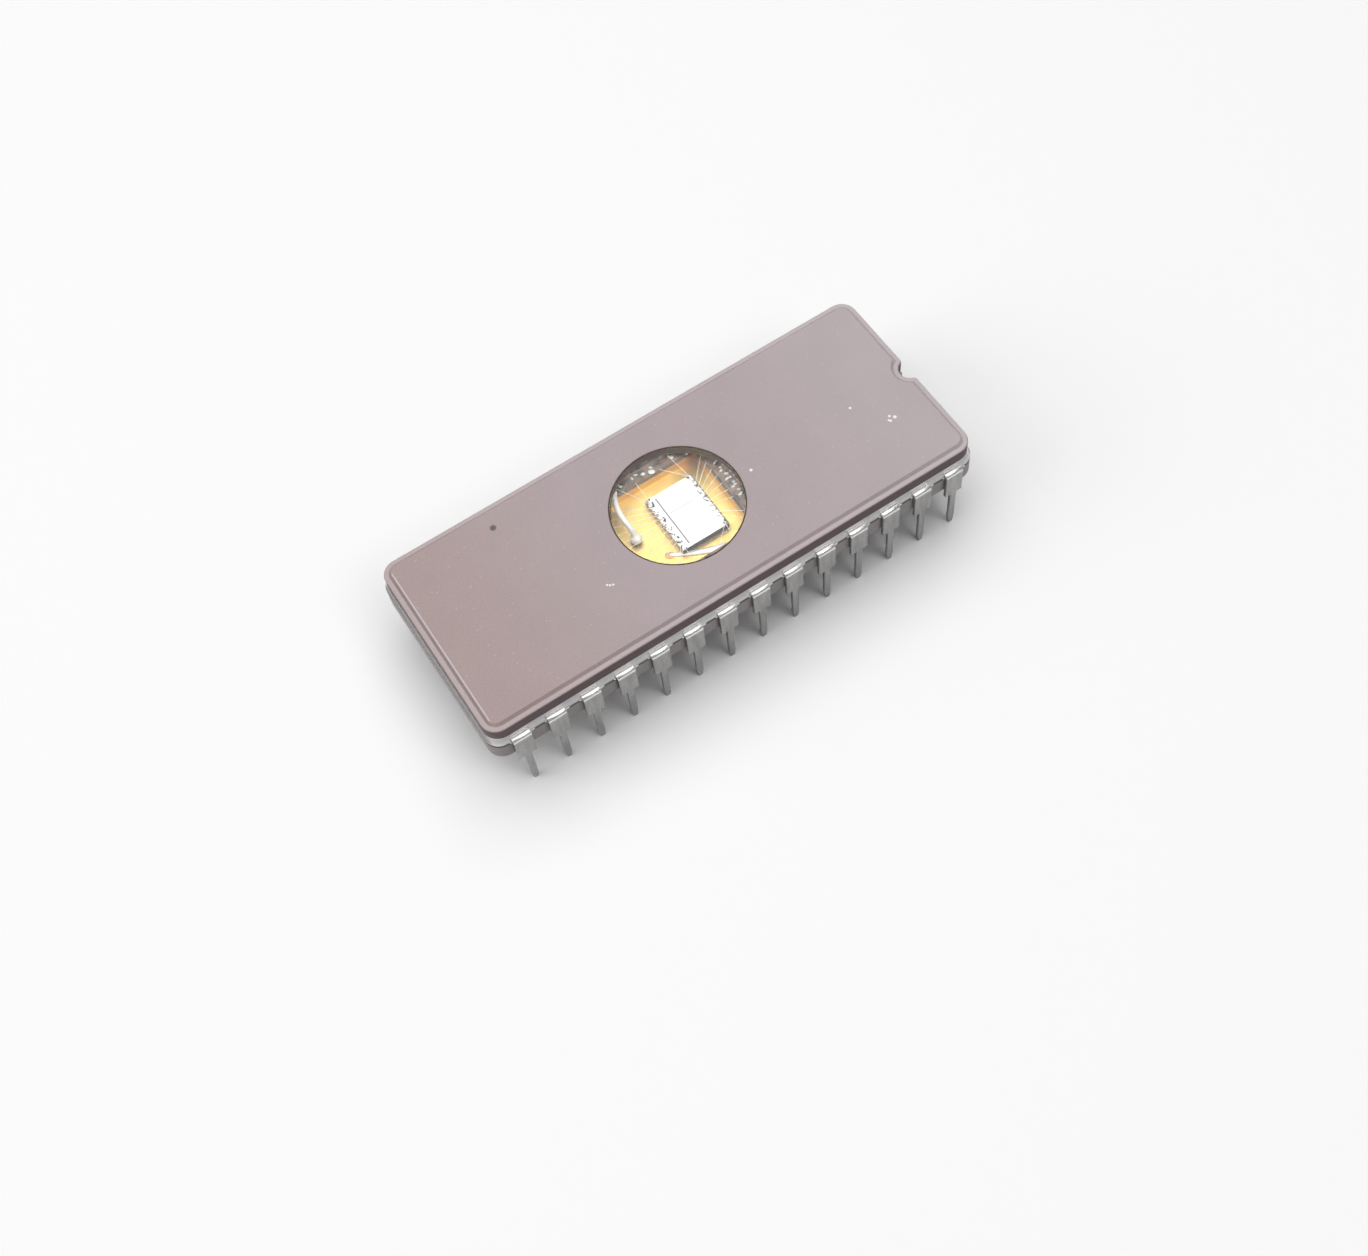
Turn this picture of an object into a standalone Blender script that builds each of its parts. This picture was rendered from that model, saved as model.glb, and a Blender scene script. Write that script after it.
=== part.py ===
"""Ceramic EPROM package: 28 leads in two rows, with a round ultraviolet window in the lid.

The package stands on its lead tips at z = 0. +Y points to the end with the notch and +X to the
row of leads 15 to 28. Two pressed ceramic blocks are joined by a layer of fused glass, and the
stamped lead frame runs through that glass from the pins outside to the finger tips round the
cavity. The die sits in the cavity on gold, wired to the finger tips.
"""
import math

import bmesh
import bpy
from mathutils import Vector

# Leads, in metres
LEADS_PER_ROW = 14
LEAD_PITCH = 0.00254
ROW_SPACING = 0.01524
LEAD_THICKNESS = 0.00025
SHOULDER_WIDTH = 0.0013
PIN_WIDTH = 0.00046
PIN_LENGTH = 0.00365
TIP_WIDTH = 0.00026
TIP_TAPER = 0.0007
BEND_RADIUS = 0.0002
BEND_STEPS = 4
UNCONNECTED_LEADS = (26,)

# Ceramic blocks and the notch
STANDOFF = 0.00035
BASE_THICKNESS = 0.00175
LID_THICKNESS = 0.0012
LEAD_CLEARANCE = 0.000075
END_MARGIN = 0.00201
LID_SETBACK = 0.00017
CORNER_RADIUS = 0.0011
NOTCH_RADIUS = 0.00075
NOTCH_LIP_RADIUS = 0.00018
LAND_WIDTH = 0.00032
CHAMFER_WIDTH = 0.0002
CHAMFER_HEIGHT = 0.0002
EDGE_BREAK = 0.00006

# Seal glass above and below the lead frame
LID_GLASS = 0.0003
BASE_GLASS = 0.0001
GLASS_LIP = 0.00006

# Window
WINDOW_DIAMETER = 0.00889
LENS_RECESS = 0.00004
LENS_RISE = 0.00016

# Cavity and what lies in it
CAVITY_WIDTH = 0.0072
CAVITY_LENGTH = 0.0079
CAVITY_DEPTH = 0.0009
CAVITY_SHIFT = -0.00035
CAVITY_RADIUS = 0.0003
LINING_THICKNESS = 0.00006
ATTACH_THICKNESS = 0.00004
ATTACH_MARGIN = 0.00014
DIE_WIDTH = 0.0046
DIE_LENGTH = 0.0036
DIE_THICKNESS = 0.0005
DIE_OFFSET = -0.0001
DIE_END_GAP = 0.00115

# Fingers of the lead frame
END_FINGERS = 5
TIP_SETBACK = 0.00028
TIP_SPREAD_SHARE = 1.04
FINGER_SHARE = 0.6
SIDE_TIP_PITCH = 0.00145
KNEE = 0.0007
SHOULDER_DEPTH = 0.0006
SHOULDER_TAPER = 0.00045

# Bond wires and the ground wire
WIRE_DIAMETER = 0.00005
WIRE_RISE = 0.00022
WIRE_STEEPNESS = 1.0
WIRE_STEPS = 5
PAD_INSET = 0.00018
BOND_SETBACK = 0.0003
SHELF_MARGIN = 0.0003
GROUND_WIRE_DIAMETER = 0.0002
GROUND_WIRE_RISE = 0.0002
GROUND_STEEPNESS = 9
GROUND_LUMP_DIAMETER = 0.00082
GROUND_LUMP_OFFSET = -0.00035
LUMP_PLACE_SHARE = 0.62
LUMP_SINK_SHARE = 0.25
LUMP_EXIT_SHARE = 0.85
GROUND_LEAD = 9
GROUND_STEPS = 12

# Small gap kept between pieces that touch
SEAT_GAP = 0.00002
ROUND_STEPS = 48
NOTCH_STEPS = 7
LIP_STEPS = 3
MENISCUS_STEPS = 4
CORNER_STEPS = 6

# Heights and outlines worked out from the sizes above
UNDERSIDE = PIN_LENGTH + STANDOFF
BASE_TOP = UNDERSIDE + BASE_THICKNESS
LEAD_LEVEL = BASE_TOP + BASE_GLASS + LEAD_THICKNESS / 2
LID_BOTTOM = LEAD_LEVEL + LEAD_THICKNESS / 2 + LID_GLASS
LID_TOP = LID_BOTTOM + LID_THICKNESS
BASE_WIDTH = ROW_SPACING - LEAD_THICKNESS - 2 * LEAD_CLEARANCE
BASE_LENGTH = (LEADS_PER_ROW - 1) * LEAD_PITCH + 2 * END_MARGIN
LID_WIDTH = BASE_WIDTH - 2 * LID_SETBACK
LID_LENGTH = BASE_LENGTH - 2 * LID_SETBACK
NOTCH_PLACE = (BASE_LENGTH - LID_SETBACK) / 2
CAVITY_FLOOR = BASE_TOP - CAVITY_DEPTH
LINING_TOP = CAVITY_FLOOR + SEAT_GAP + LINING_THICKNESS
ATTACH_BOTTOM = LINING_TOP + SEAT_GAP
DIE_BOTTOM = ATTACH_BOTTOM + ATTACH_THICKNESS + SEAT_GAP
DIE_TOP = DIE_BOTTOM + DIE_THICKNESS
LEAD_TOP = LEAD_LEVEL + LEAD_THICKNESS / 2
LENS_BOTTOM = LID_BOTTOM + LENS_RISE
LENS_THICKNESS = LID_TOP - LENS_RECESS - LENS_BOTTOM
END_TIP_PITCH = CAVITY_WIDTH / (2 * END_FINGERS) * TIP_SPREAD_SHARE
FINGER_WIDTH = END_TIP_PITCH * FINGER_SHARE
SIDE_FINGERS = LEADS_PER_ROW - 2 * END_FINGERS
BOND_SHELF = TIP_SETBACK + BOND_SETBACK + SHELF_MARGIN
CAVITY_NOTCH_END = CAVITY_SHIFT + CAVITY_LENGTH / 2
CAVITY_FAR_END = CAVITY_SHIFT - CAVITY_LENGTH / 2
DIE_PLACE = (DIE_OFFSET, CAVITY_NOTCH_END - DIE_END_GAP - DIE_LENGTH / 2)
DIE_FAR_EDGE = DIE_PLACE[1] - DIE_LENGTH / 2
GROUND_LUMP_PLACE = (GROUND_LUMP_OFFSET,
                     DIE_FAR_EDGE + LUMP_PLACE_SHARE * (CAVITY_FAR_END - DIE_FAR_EDGE))


def start_scene():
    """Remove what the scene holds and return the collections for parts and cutters."""
    for old in list(bpy.data.objects):
        bpy.data.objects.remove(old, do_unlink=True)
    parts = bpy.data.collections.new("eprom_chip")
    cutters = bpy.data.collections.new("eprom_chip_cutters")
    bpy.context.scene.collection.children.link(parts)
    bpy.context.scene.collection.children.link(cutters)
    return parts, cutters


def make_material(name, colour, roughness, metallic=0.0, clear=0.0):
    """Return a Principled material with the given finish."""
    material = bpy.data.materials.new(name)
    material.use_nodes = True
    shader = material.node_tree.nodes["Principled BSDF"]
    shader.inputs["Base Color"].default_value = (*colour, 1.0)
    shader.inputs["Roughness"].default_value = roughness
    shader.inputs["Metallic"].default_value = metallic
    shader.inputs["Transmission Weight"].default_value = clear
    return material


def add_part(name, bm, material, place=(0.0, 0.0, 0.0), round_piece=True):
    """Turn a bmesh into a part that hangs on the package's empty."""
    mesh = bpy.data.meshes.new(name)
    bm.to_mesh(mesh)
    bm.free()
    mesh.materials.append(material)
    if round_piece:
        mesh.shade_smooth()
        mesh.set_sharp_from_angle(angle=math.radians(35))
    part = bpy.data.objects.new(name, mesh)
    part.location = place
    part.parent = PACKAGE
    PARTS.objects.link(part)
    return part


def add_cutter(name, bm, place=(0.0, 0.0, 0.0)):
    """Turn a bmesh into a hidden cutter."""
    mesh = bpy.data.meshes.new(name)
    bm.to_mesh(mesh)
    bm.free()
    cutter = bpy.data.objects.new(name, mesh)
    cutter.location = place
    cutter.hide_render = True
    cutter.display_type = "WIRE"
    CUTTERS.objects.link(cutter)
    return cutter


def add_boolean(part, cutter, operation="DIFFERENCE"):
    """Put an exact Boolean on a part."""
    boolean = part.modifiers.new(cutter.name, "BOOLEAN")
    boolean.operation = operation
    boolean.solver = "EXACT"
    boolean.object = cutter


def add_sheet_thickness(part, thickness):
    """Give a flat strip its thickness, half on each side."""
    solidify = part.modifiers.new("sheet thickness", "SOLIDIFY")
    solidify.thickness = thickness
    solidify.offset = 0.0
    solidify.use_even_offset = True


def vertical_edges(bm):
    """Return the edges of a block that run along Z."""
    upright = []
    for edge in bm.edges:
        run = edge.verts[1].co - edge.verts[0].co
        if abs(run.z) > 0.5 * run.length:
            upright.append(edge)
    return upright


def round_block(width, length, height, radius, steps=6):
    """Return a bmesh block that stands on z = 0, with rounded upright corners."""
    bm = bmesh.new()
    bmesh.ops.create_cube(bm, size=1.0)
    bmesh.ops.translate(bm, verts=bm.verts, vec=(0.0, 0.0, 0.5))
    bmesh.ops.scale(bm, verts=bm.verts, vec=(width, length, height))
    bmesh.ops.bevel(bm, geom=vertical_edges(bm), offset=radius, segments=steps, profile=0.5,
                    affect="EDGES", material=-1)
    return bm


def turned(profile):
    """Return a bmesh turned about Z from a profile of radius and height pairs."""
    bm = bmesh.new()
    verts = [bm.verts.new((radius, 0.0, height)) for radius, height in profile]
    edges = [bm.edges.new(pair) for pair in zip(verts, verts[1:])]
    bmesh.ops.spin(bm, geom=verts + edges, cent=(0.0, 0.0, 0.0), axis=(0.0, 0.0, 1.0),
                   angle=2 * math.pi, steps=ROUND_STEPS, use_merge=True)
    bmesh.ops.remove_doubles(bm, verts=bm.verts, dist=SEAT_GAP / 100)
    bmesh.ops.recalc_face_normals(bm, faces=bm.faces)
    return bm


def arc(centre, radius, start, end, steps):
    """Return the points of a flat arc between two angles."""
    turns = [start + (end - start) * step / steps for step in range(steps + 1)]
    return [(centre[0] + radius * math.cos(turn), centre[1] + radius * math.sin(turn))
            for turn in turns]


def notched_outline(width, length, inset):
    """Return the points round a block that is notched at its +Y end, moved in by an inset."""
    side = width / 2 - inset
    end = length / 2 - inset
    corner = CORNER_RADIUS - inset
    notch = NOTCH_RADIUS + inset
    lip = max(NOTCH_LIP_RADIUS - inset, SEAT_GAP)
    lip_y = end - lip
    lip_x = math.sqrt((notch + lip) ** 2 - (lip_y - NOTCH_PLACE) ** 2)
    lean = math.atan2(lip_y - NOTCH_PLACE, lip_x)
    quarter = math.pi / 2
    half = arc((0.0, NOTCH_PLACE), notch, -quarter, lean, NOTCH_STEPS)
    half += arc((lip_x, lip_y), lip, math.pi + lean, quarter, LIP_STEPS)[1:]
    half += arc((side - corner, end - corner), corner, quarter, 0.0, CORNER_STEPS)
    half += arc((side - corner, corner - end), corner, 0.0, -quarter, CORNER_STEPS)
    return half + [(-x, y) for x, y in reversed(half[1:])]


def notched_block(width, length, levels):
    """Return a bmesh block built up from outlines; levels holds height and inset pairs."""
    bm = bmesh.new()
    rings = [[bm.verts.new((x, y, height)) for x, y in notched_outline(width, length, inset)]
             for height, inset in levels]
    for lower, upper in zip(rings, rings[1:]):
        for index in range(len(lower)):
            bm.faces.new((lower[index - 1], lower[index], upper[index], upper[index - 1]))
    bm.faces.new(rings[0])
    bm.faces.new(rings[-1])
    bmesh.ops.recalc_face_normals(bm, faces=bm.faces)
    return bm


def pressed_levels(thickness):
    """Return the levels of a pressed block: upright side, broken edge, land and chamfer."""
    land = thickness - CHAMFER_HEIGHT
    return [(0.0, 0.0), (land - EDGE_BREAK, 0.0), (land, EDGE_BREAK), (land, LAND_WIDTH),
            (thickness, LAND_WIDTH + CHAMFER_WIDTH)]


def make_base(material):
    """The base: its rim faces down, and the cavity is sunk into its level top."""
    levels = [(-height, inset) for height, inset in pressed_levels(BASE_THICKNESS)]
    bm = notched_block(BASE_WIDTH, BASE_LENGTH, levels)
    base = add_part("ceramic_base", bm, material, (0.0, 0.0, BASE_TOP))
    cavity = round_block(CAVITY_WIDTH, CAVITY_LENGTH, 2 * CAVITY_DEPTH, CAVITY_RADIUS, 4)
    add_boolean(base, add_cutter("cavity tool", cavity, (0.0, CAVITY_SHIFT, CAVITY_FLOOR)))


def make_lid(material):
    """The lid: its rim faces up, and the window hole goes right through."""
    bm = notched_block(LID_WIDTH, LID_LENGTH, pressed_levels(LID_THICKNESS))
    lid = add_part("ceramic_lid", bm, material, (0.0, 0.0, LID_BOTTOM))
    radius = WINDOW_DIAMETER / 2 + SEAT_GAP
    hole = turned([(0.0, -LID_THICKNESS), (radius, -LID_THICKNESS),
                   (radius, LID_THICKNESS - EDGE_BREAK),
                   (radius + 2 * EDGE_BREAK, LID_THICKNESS + EDGE_BREAK),
                   (0.0, LID_THICKNESS + EDGE_BREAK)])
    add_boolean(lid, add_cutter("window tool", hole, (0.0, 0.0, LID_BOTTOM)))


def make_lens(material):
    """The window: a clear disc held flush in the lid's hole."""
    radius = WINDOW_DIAMETER / 2
    bm = turned([(0.0, 0.0), (radius - EDGE_BREAK, 0.0), (radius, EDGE_BREAK),
                 (radius, LENS_THICKNESS - EDGE_BREAK), (radius - EDGE_BREAK, LENS_THICKNESS),
                 (0.0, LENS_THICKNESS)])
    add_part("window_lens", bm, material, (0.0, 0.0, LENS_BOTTOM))


def mitred(points, widths):
    """Return the left and right side of a strip that follows a flat path."""
    sides = []
    for index, point in enumerate(points):
        runs = []
        if index > 0:
            runs.append((point - points[index - 1]).normalized())
        if index < len(points) - 1:
            runs.append((points[index + 1] - point).normalized())
        along = sum(runs, Vector((0.0, 0.0))).normalized()
        across = Vector((-along.y, along.x))
        first_across = Vector((-runs[0].y, runs[0].x))
        reach = widths[index] / 2 / across.dot(first_across)
        sides.append((point + across * reach, point - across * reach))
    return sides


def finger_path(rank):
    """Return a finger's path, from its tip out to its shoulder, for the +X row.

    rank counts the leads of a row from the +Y end. The first and last END_FINGERS leads reach the
    cavity's end walls, nested inside one another, and the others its side wall.
    """
    row_y = ((LEADS_PER_ROW - 1) / 2 - rank) * LEAD_PITCH
    end = 1 if rank < LEADS_PER_ROW / 2 else -1
    from_end = min(rank, LEADS_PER_ROW - 1 - rank)
    shoulder_x = BASE_WIDTH / 2 - SHOULDER_DEPTH - SHOULDER_TAPER
    if from_end < END_FINGERS:
        tip_x = (from_end + 0.5) * END_TIP_PITCH
        tip_y = CAVITY_SHIFT + end * (CAVITY_LENGTH / 2 + TIP_SETBACK)
        knee = min(KNEE, abs(row_y - tip_y) / 2, (shoulder_x - tip_x) / 2)
        path = [(tip_x, tip_y), (tip_x, row_y - end * knee), (tip_x + knee, row_y)]
    else:
        tip_x = CAVITY_WIDTH / 2 + TIP_SETBACK
        tip_y = CAVITY_SHIFT + ((LEADS_PER_ROW - 1) / 2 - rank) * SIDE_TIP_PITCH
        knee = min(KNEE, (shoulder_x - tip_x) / 3)
        path = [(tip_x, tip_y), (tip_x + knee, tip_y), (shoulder_x - knee, row_y)]
    path.append((shoulder_x, row_y))
    path.append((shoulder_x + SHOULDER_TAPER, row_y))
    return [Vector(point) for point in path]


def finger_widths(path, growth=0.0):
    """Return a strip's width at each point of a finger's path."""
    return [FINGER_WIDTH + growth] * (len(path) - 1) + [SHOULDER_WIDTH + growth]


def strip_faces(bm, sides):
    """Join pairs of side vertices into a strip of faces."""
    for (left, right), (next_left, next_right) in zip(sides, sides[1:]):
        bm.faces.new((left, right, next_right, next_left))


def make_lead(number, material):
    """One lead: finger, shoulder, bend and pin, stamped from a sheet and bent down."""
    first_row = number <= LEADS_PER_ROW
    rank = number - 1 if first_row else 2 * LEADS_PER_ROW - number
    side = -1 if first_row else 1
    row_y = ((LEADS_PER_ROW - 1) / 2 - rank) * LEAD_PITCH
    path = finger_path(rank)
    level = [(point.x, point.y, LEAD_LEVEL) for pair in mitred(path, finger_widths(path))
             for point in pair]
    rows = [level[index:index + 2] for index in range(0, len(level), 2)]
    half = SHOULDER_WIDTH / 2
    bend_x = ROW_SPACING / 2 - BEND_RADIUS
    for step in range(BEND_STEPS + 1):
        turn = math.pi / 2 * step / BEND_STEPS
        x = bend_x + BEND_RADIUS * math.sin(turn)
        z = LEAD_LEVEL - BEND_RADIUS * (1 - math.cos(turn))
        rows.append([(x, row_y + half, z), (x, row_y - half, z)])
    bm = bmesh.new()

    def vertex(x, y, z):
        """Add a vertex, measured from the lead's own place in its row."""
        return bm.verts.new((side * (x - ROW_SPACING / 2), y - row_y, z))

    sides = [[vertex(*point) for point in row] for row in rows]
    strip_faces(bm, sides)
    row_x = ROW_SPACING / 2
    corners = [vertex(row_x, row_y + half, PIN_LENGTH), vertex(row_x, row_y - half, PIN_LENGTH)]
    pin = []
    for width, z in ((PIN_WIDTH, PIN_LENGTH), (PIN_WIDTH, TIP_TAPER), (TIP_WIDTH, 0.0)):
        pin.append([vertex(row_x, row_y + width / 2, z), vertex(row_x, row_y - width / 2, z)])
    last_left, last_right = sides[-1]
    bm.faces.new((last_left, last_right, corners[1], pin[0][1], pin[0][0], corners[0]))
    strip_faces(bm, pin)
    lead = add_part(f"lead_{number:02d}", bm, material, (side * row_x, row_y, 0.0), False)
    add_sheet_thickness(lead, LEAD_THICKNESS)


def frame_tool():
    """Return a cutter with the shape of the whole lead frame, a seat gap larger all round."""
    bm = bmesh.new()
    growth = 2 * SEAT_GAP
    for side in (-1, 1):
        for rank in range(LEADS_PER_ROW):
            path = finger_path(rank)
            tip_run = (path[0] - path[1]).normalized()
            path[0] += tip_run * SEAT_GAP
            widths = finger_widths(path, growth)
            path.append(path[-1] + Vector((2 * SHOULDER_DEPTH, 0.0)))
            widths.append(widths[-1])
            sides = [[bm.verts.new((side * point.x, point.y, 0.0)) for point in pair]
                     for pair in mitred(path, widths)]
            strip_faces(bm, sides)
    tool = add_cutter("lead frame tool", bm, (0.0, 0.0, LEAD_LEVEL))
    add_sheet_thickness(tool, LEAD_THICKNESS + growth)
    return tool


def make_seal_glass(material):
    """The fused glass: it holds the leads, and its outer side sweeps up to the lid's edge."""
    low = BASE_TOP + SEAT_GAP
    high = LID_BOTTOM - SEAT_GAP
    levels = [(0.0, 0.0)]
    for step in range(MENISCUS_STEPS + 1):
        turn = math.pi / 2 * step / MENISCUS_STEPS
        height = GLASS_LIP + (high - low - GLASS_LIP) * (1 - math.cos(turn))
        levels.append((height, LID_SETBACK * math.sin(turn)))
    bm = notched_block(BASE_WIDTH, BASE_LENGTH, levels)
    glass = add_part("seal_glass", bm, material, (0.0, 0.0, low))
    opening = round_block(CAVITY_WIDTH + 4 * SEAT_GAP, CAVITY_LENGTH + 4 * SEAT_GAP,
                          3 * (high - low), CAVITY_RADIUS + 2 * SEAT_GAP, 4)
    add_boolean(glass, add_cutter("glass opening tool", opening,
                                  (0.0, CAVITY_SHIFT, 2 * low - high)))
    shelf = round_block(CAVITY_WIDTH + 2 * BOND_SHELF, CAVITY_LENGTH + 2 * BOND_SHELF,
                        3 * LID_GLASS, BOND_SHELF, 4)
    add_boolean(glass, add_cutter("bond shelf tool", shelf,
                                  (0.0, CAVITY_SHIFT, LEAD_TOP - 3 * SEAT_GAP)))
    add_boolean(glass, frame_tool())


def make_lining(material):
    """The gold: a thin tray on the cavity's floor and walls."""
    gap = 2 * SEAT_GAP
    wall = CAVITY_DEPTH - gap - SEAT_GAP
    bm = round_block(CAVITY_WIDTH - gap, CAVITY_LENGTH - gap, wall, CAVITY_RADIUS - SEAT_GAP, 4)
    bm.normal_update()
    top = max(bm.faces, key=lambda face: face.calc_center_median().z)
    bmesh.ops.delete(bm, geom=[top], context="FACES_ONLY")
    tray = add_part("gold_lining", bm, material, (0.0, CAVITY_SHIFT, CAVITY_FLOOR + SEAT_GAP))
    solidify = tray.modifiers.new("gold thickness", "SOLIDIFY")
    solidify.thickness = LINING_THICKNESS
    solidify.offset = -1.0
    solidify.use_even_offset = True


def make_attach(material):
    """The preform: a thin plate of solder, a little larger than the die."""
    bm = round_block(DIE_WIDTH + 2 * ATTACH_MARGIN, DIE_LENGTH + 2 * ATTACH_MARGIN,
                     ATTACH_THICKNESS, ATTACH_MARGIN, 4)
    add_part("die_attach", bm, material, (*DIE_PLACE, ATTACH_BOTTOM))


def tube_mesh(name, routes, diameter):
    """Return a bmesh of closed tubes, one along each route."""
    curve = bpy.data.curves.new(name, "CURVE")
    curve.dimensions = "3D"
    curve.bevel_depth = diameter / 2
    curve.bevel_resolution = 1
    curve.use_fill_caps = True
    for route in routes:
        spline = curve.splines.new("POLY")
        spline.points.add(len(route) - 1)
        for point, place in zip(spline.points, route):
            point.co = (*place, 1.0)
    holder = bpy.data.objects.new(name, curve)
    CUTTERS.objects.link(holder)
    graph = bpy.context.evaluated_depsgraph_get()
    mesh = bpy.data.meshes.new_from_object(holder.evaluated_get(graph))
    bpy.data.objects.remove(holder, do_unlink=True)
    bm = bmesh.new()
    bm.from_mesh(mesh)
    bpy.data.meshes.remove(mesh)
    bmesh.ops.remove_doubles(bm, verts=bm.verts, dist=diameter / 1000)
    return bm


def bond_place(number, aside=0.0):
    """Return where a wire lands on a lead's finger, just behind the tip or aside of its middle."""
    first_row = number <= LEADS_PER_ROW
    rank = number - 1 if first_row else 2 * LEADS_PER_ROW - number
    path = finger_path(rank)
    run = (path[1] - path[0]).normalized()
    place = path[0] + run * BOND_SETBACK + Vector((-run.y, run.x)) * aside
    return Vector((-place.x if first_row else place.x, place.y, LEAD_TOP + SEAT_GAP))


def wire_route(start, end, rise, steepness, steps):
    """Return points on a loop that leaves its start steeply and comes down flat on its end."""
    route = []
    for step in range(steps + 1):
        share = step / steps
        climb = (end.z - start.z) * (1 - (1 - share) ** steepness)
        arch = rise * math.sin(math.pi * share) * (1 - share)
        point = start.lerp(end, share)
        route.append(Vector((point.x, point.y, start.z + climb + arch)))
    return route


def make_die(material):
    """The die, with a wire from each of its pads to the finger of the lead it serves."""
    bm = round_block(DIE_WIDTH, DIE_LENGTH, DIE_THICKNESS, 2 * SEAT_GAP, 1)
    die = add_part("memory_die", bm, material, (*DIE_PLACE, DIE_BOTTOM))
    all_leads = 2 * LEADS_PER_ROW
    half_row = LEADS_PER_ROW // 2
    rows = {
        1: [*range(half_row, 0, -1), *range(all_leads, all_leads - half_row, -1)],
        -1: [*range(half_row + 1, all_leads - half_row + 1)],
    }
    routes = []
    for end, numbers in rows.items():
        pad_pitch = (DIE_WIDTH - 2 * PAD_INSET) / (len(numbers) - 1)
        for order, number in enumerate(numbers):
            if number in UNCONNECTED_LEADS:
                continue
            pad = Vector((DIE_PLACE[0] - DIE_WIDTH / 2 + PAD_INSET + order * pad_pitch,
                          DIE_PLACE[1] + end * (DIE_LENGTH / 2 - PAD_INSET),
                          DIE_TOP - WIRE_DIAMETER / 4))
            aside = GROUND_WIRE_DIAMETER / 2 if number == GROUND_LEAD else 0.0
            landing = bond_place(number, aside)
            landing.z += WIRE_DIAMETER / 2
            routes.append(wire_route(pad, landing, WIRE_RISE, WIRE_STEEPNESS, WIRE_STEPS))
    wires = add_cutter("bond wires", tube_mesh("bond wires", routes, WIRE_DIAMETER))
    add_boolean(die, wires, "UNION")


def make_ground_wire(material):
    """The ground wire: thick wire from a finger down to a rounded lump on the gold."""
    radius = GROUND_LUMP_DIAMETER / 2
    floor = LINING_TOP + SEAT_GAP
    centre = floor + radius * (1 - LUMP_SINK_SHARE)
    lump = bmesh.new()
    bmesh.ops.create_uvsphere(lump, u_segments=20, v_segments=12, radius=radius)
    bmesh.ops.translate(lump, verts=lump.verts, vec=(*GROUND_LUMP_PLACE, centre))
    cut = bmesh.ops.bisect_plane(lump, geom=lump.verts[:] + lump.edges[:] + lump.faces[:],
                                 plane_co=(0.0, 0.0, floor), plane_no=(0.0, 0.0, 1.0),
                                 clear_inner=True)
    rim = [item for item in cut["geom_cut"] if isinstance(item, bmesh.types.BMEdge)]
    bmesh.ops.holes_fill(lump, edges=rim, sides=0)
    bmesh.ops.recalc_face_normals(lump, faces=lump.faces)
    ground = add_part("ground_wire", lump, material)
    landing = bond_place(GROUND_LEAD, (GROUND_WIRE_DIAMETER - FINGER_WIDTH) / 2)
    landing.z += GROUND_WIRE_DIAMETER / 2
    start = Vector((*GROUND_LUMP_PLACE, centre + LUMP_EXIT_SHARE * radius))
    route = wire_route(start, landing, GROUND_WIRE_RISE, GROUND_STEEPNESS, GROUND_STEPS)
    wire = add_cutter("thick wire", tube_mesh("thick wire", [route], GROUND_WIRE_DIAMETER))
    add_boolean(ground, wire, "UNION")


PARTS, CUTTERS = start_scene()
PACKAGE = bpy.data.objects.new("eprom_package", None)
PARTS.objects.link(PACKAGE)

CERAMIC = make_material("grey brown alumina", (0.40, 0.345, 0.345), 0.72)
FRIT = make_material("fused seal glass", (0.30, 0.28, 0.27), 0.18)
WINDOW = make_material("window glass", (0.95, 0.96, 0.94), 0.04, clear=1.0)
PLATED = make_material("tin plated lead", (0.74, 0.73, 0.71), 0.28, metallic=1.0)
GOLD = make_material("fired gold", (0.93, 0.66, 0.24), 0.32, metallic=1.0)
SOLDER = make_material("gold silicon preform", (0.88, 0.72, 0.42), 0.4, metallic=1.0)
SILICON = make_material("polished silicon", (0.62, 0.64, 0.66), 0.12, metallic=0.6)
ALUMINIUM = make_material("aluminium wire", (0.90, 0.90, 0.89), 0.22, metallic=1.0)

make_base(CERAMIC)
make_lid(CERAMIC)
make_lens(WINDOW)
make_seal_glass(FRIT)
for lead_number in range(1, 2 * LEADS_PER_ROW + 1):
    make_lead(lead_number, PLATED)
make_lining(GOLD)
make_attach(SOLDER)
make_die(SILICON)
make_ground_wire(ALUMINIUM)
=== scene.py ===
"""Dresses a windowed ceramic memory package: ceramics, seal glass, leads, window and cavity."""

import logging
import math
import random
from dataclasses import dataclass, field
from enum import Enum
from typing import Iterable, List, Optional, Sequence, Tuple, Union

import bmesh
import bpy
from mathutils import Matrix, Vector, noise
from mathutils.geometry import interpolate_bezier


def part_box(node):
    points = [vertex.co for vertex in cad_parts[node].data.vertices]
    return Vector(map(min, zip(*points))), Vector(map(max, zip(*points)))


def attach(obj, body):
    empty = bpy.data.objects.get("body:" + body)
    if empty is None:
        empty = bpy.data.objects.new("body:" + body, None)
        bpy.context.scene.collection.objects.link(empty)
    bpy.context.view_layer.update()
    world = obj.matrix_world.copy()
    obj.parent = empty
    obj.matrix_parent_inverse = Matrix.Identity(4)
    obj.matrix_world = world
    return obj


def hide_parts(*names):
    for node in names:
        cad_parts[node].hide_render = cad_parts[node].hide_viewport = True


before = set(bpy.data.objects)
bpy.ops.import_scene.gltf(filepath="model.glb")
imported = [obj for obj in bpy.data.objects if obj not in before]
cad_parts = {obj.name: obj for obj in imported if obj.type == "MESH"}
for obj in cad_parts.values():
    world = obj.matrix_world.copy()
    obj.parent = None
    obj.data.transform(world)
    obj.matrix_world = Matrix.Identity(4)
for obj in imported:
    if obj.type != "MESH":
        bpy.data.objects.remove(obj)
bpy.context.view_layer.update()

Colour = Tuple[float, float, float]
Place = Tuple[float, float, float]
Span = Tuple[float, ...]
Socket = bpy.types.NodeSocket
Material = bpy.types.Material
BMesh = bmesh.types.BMesh
Level = Union[float, Socket]

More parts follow.
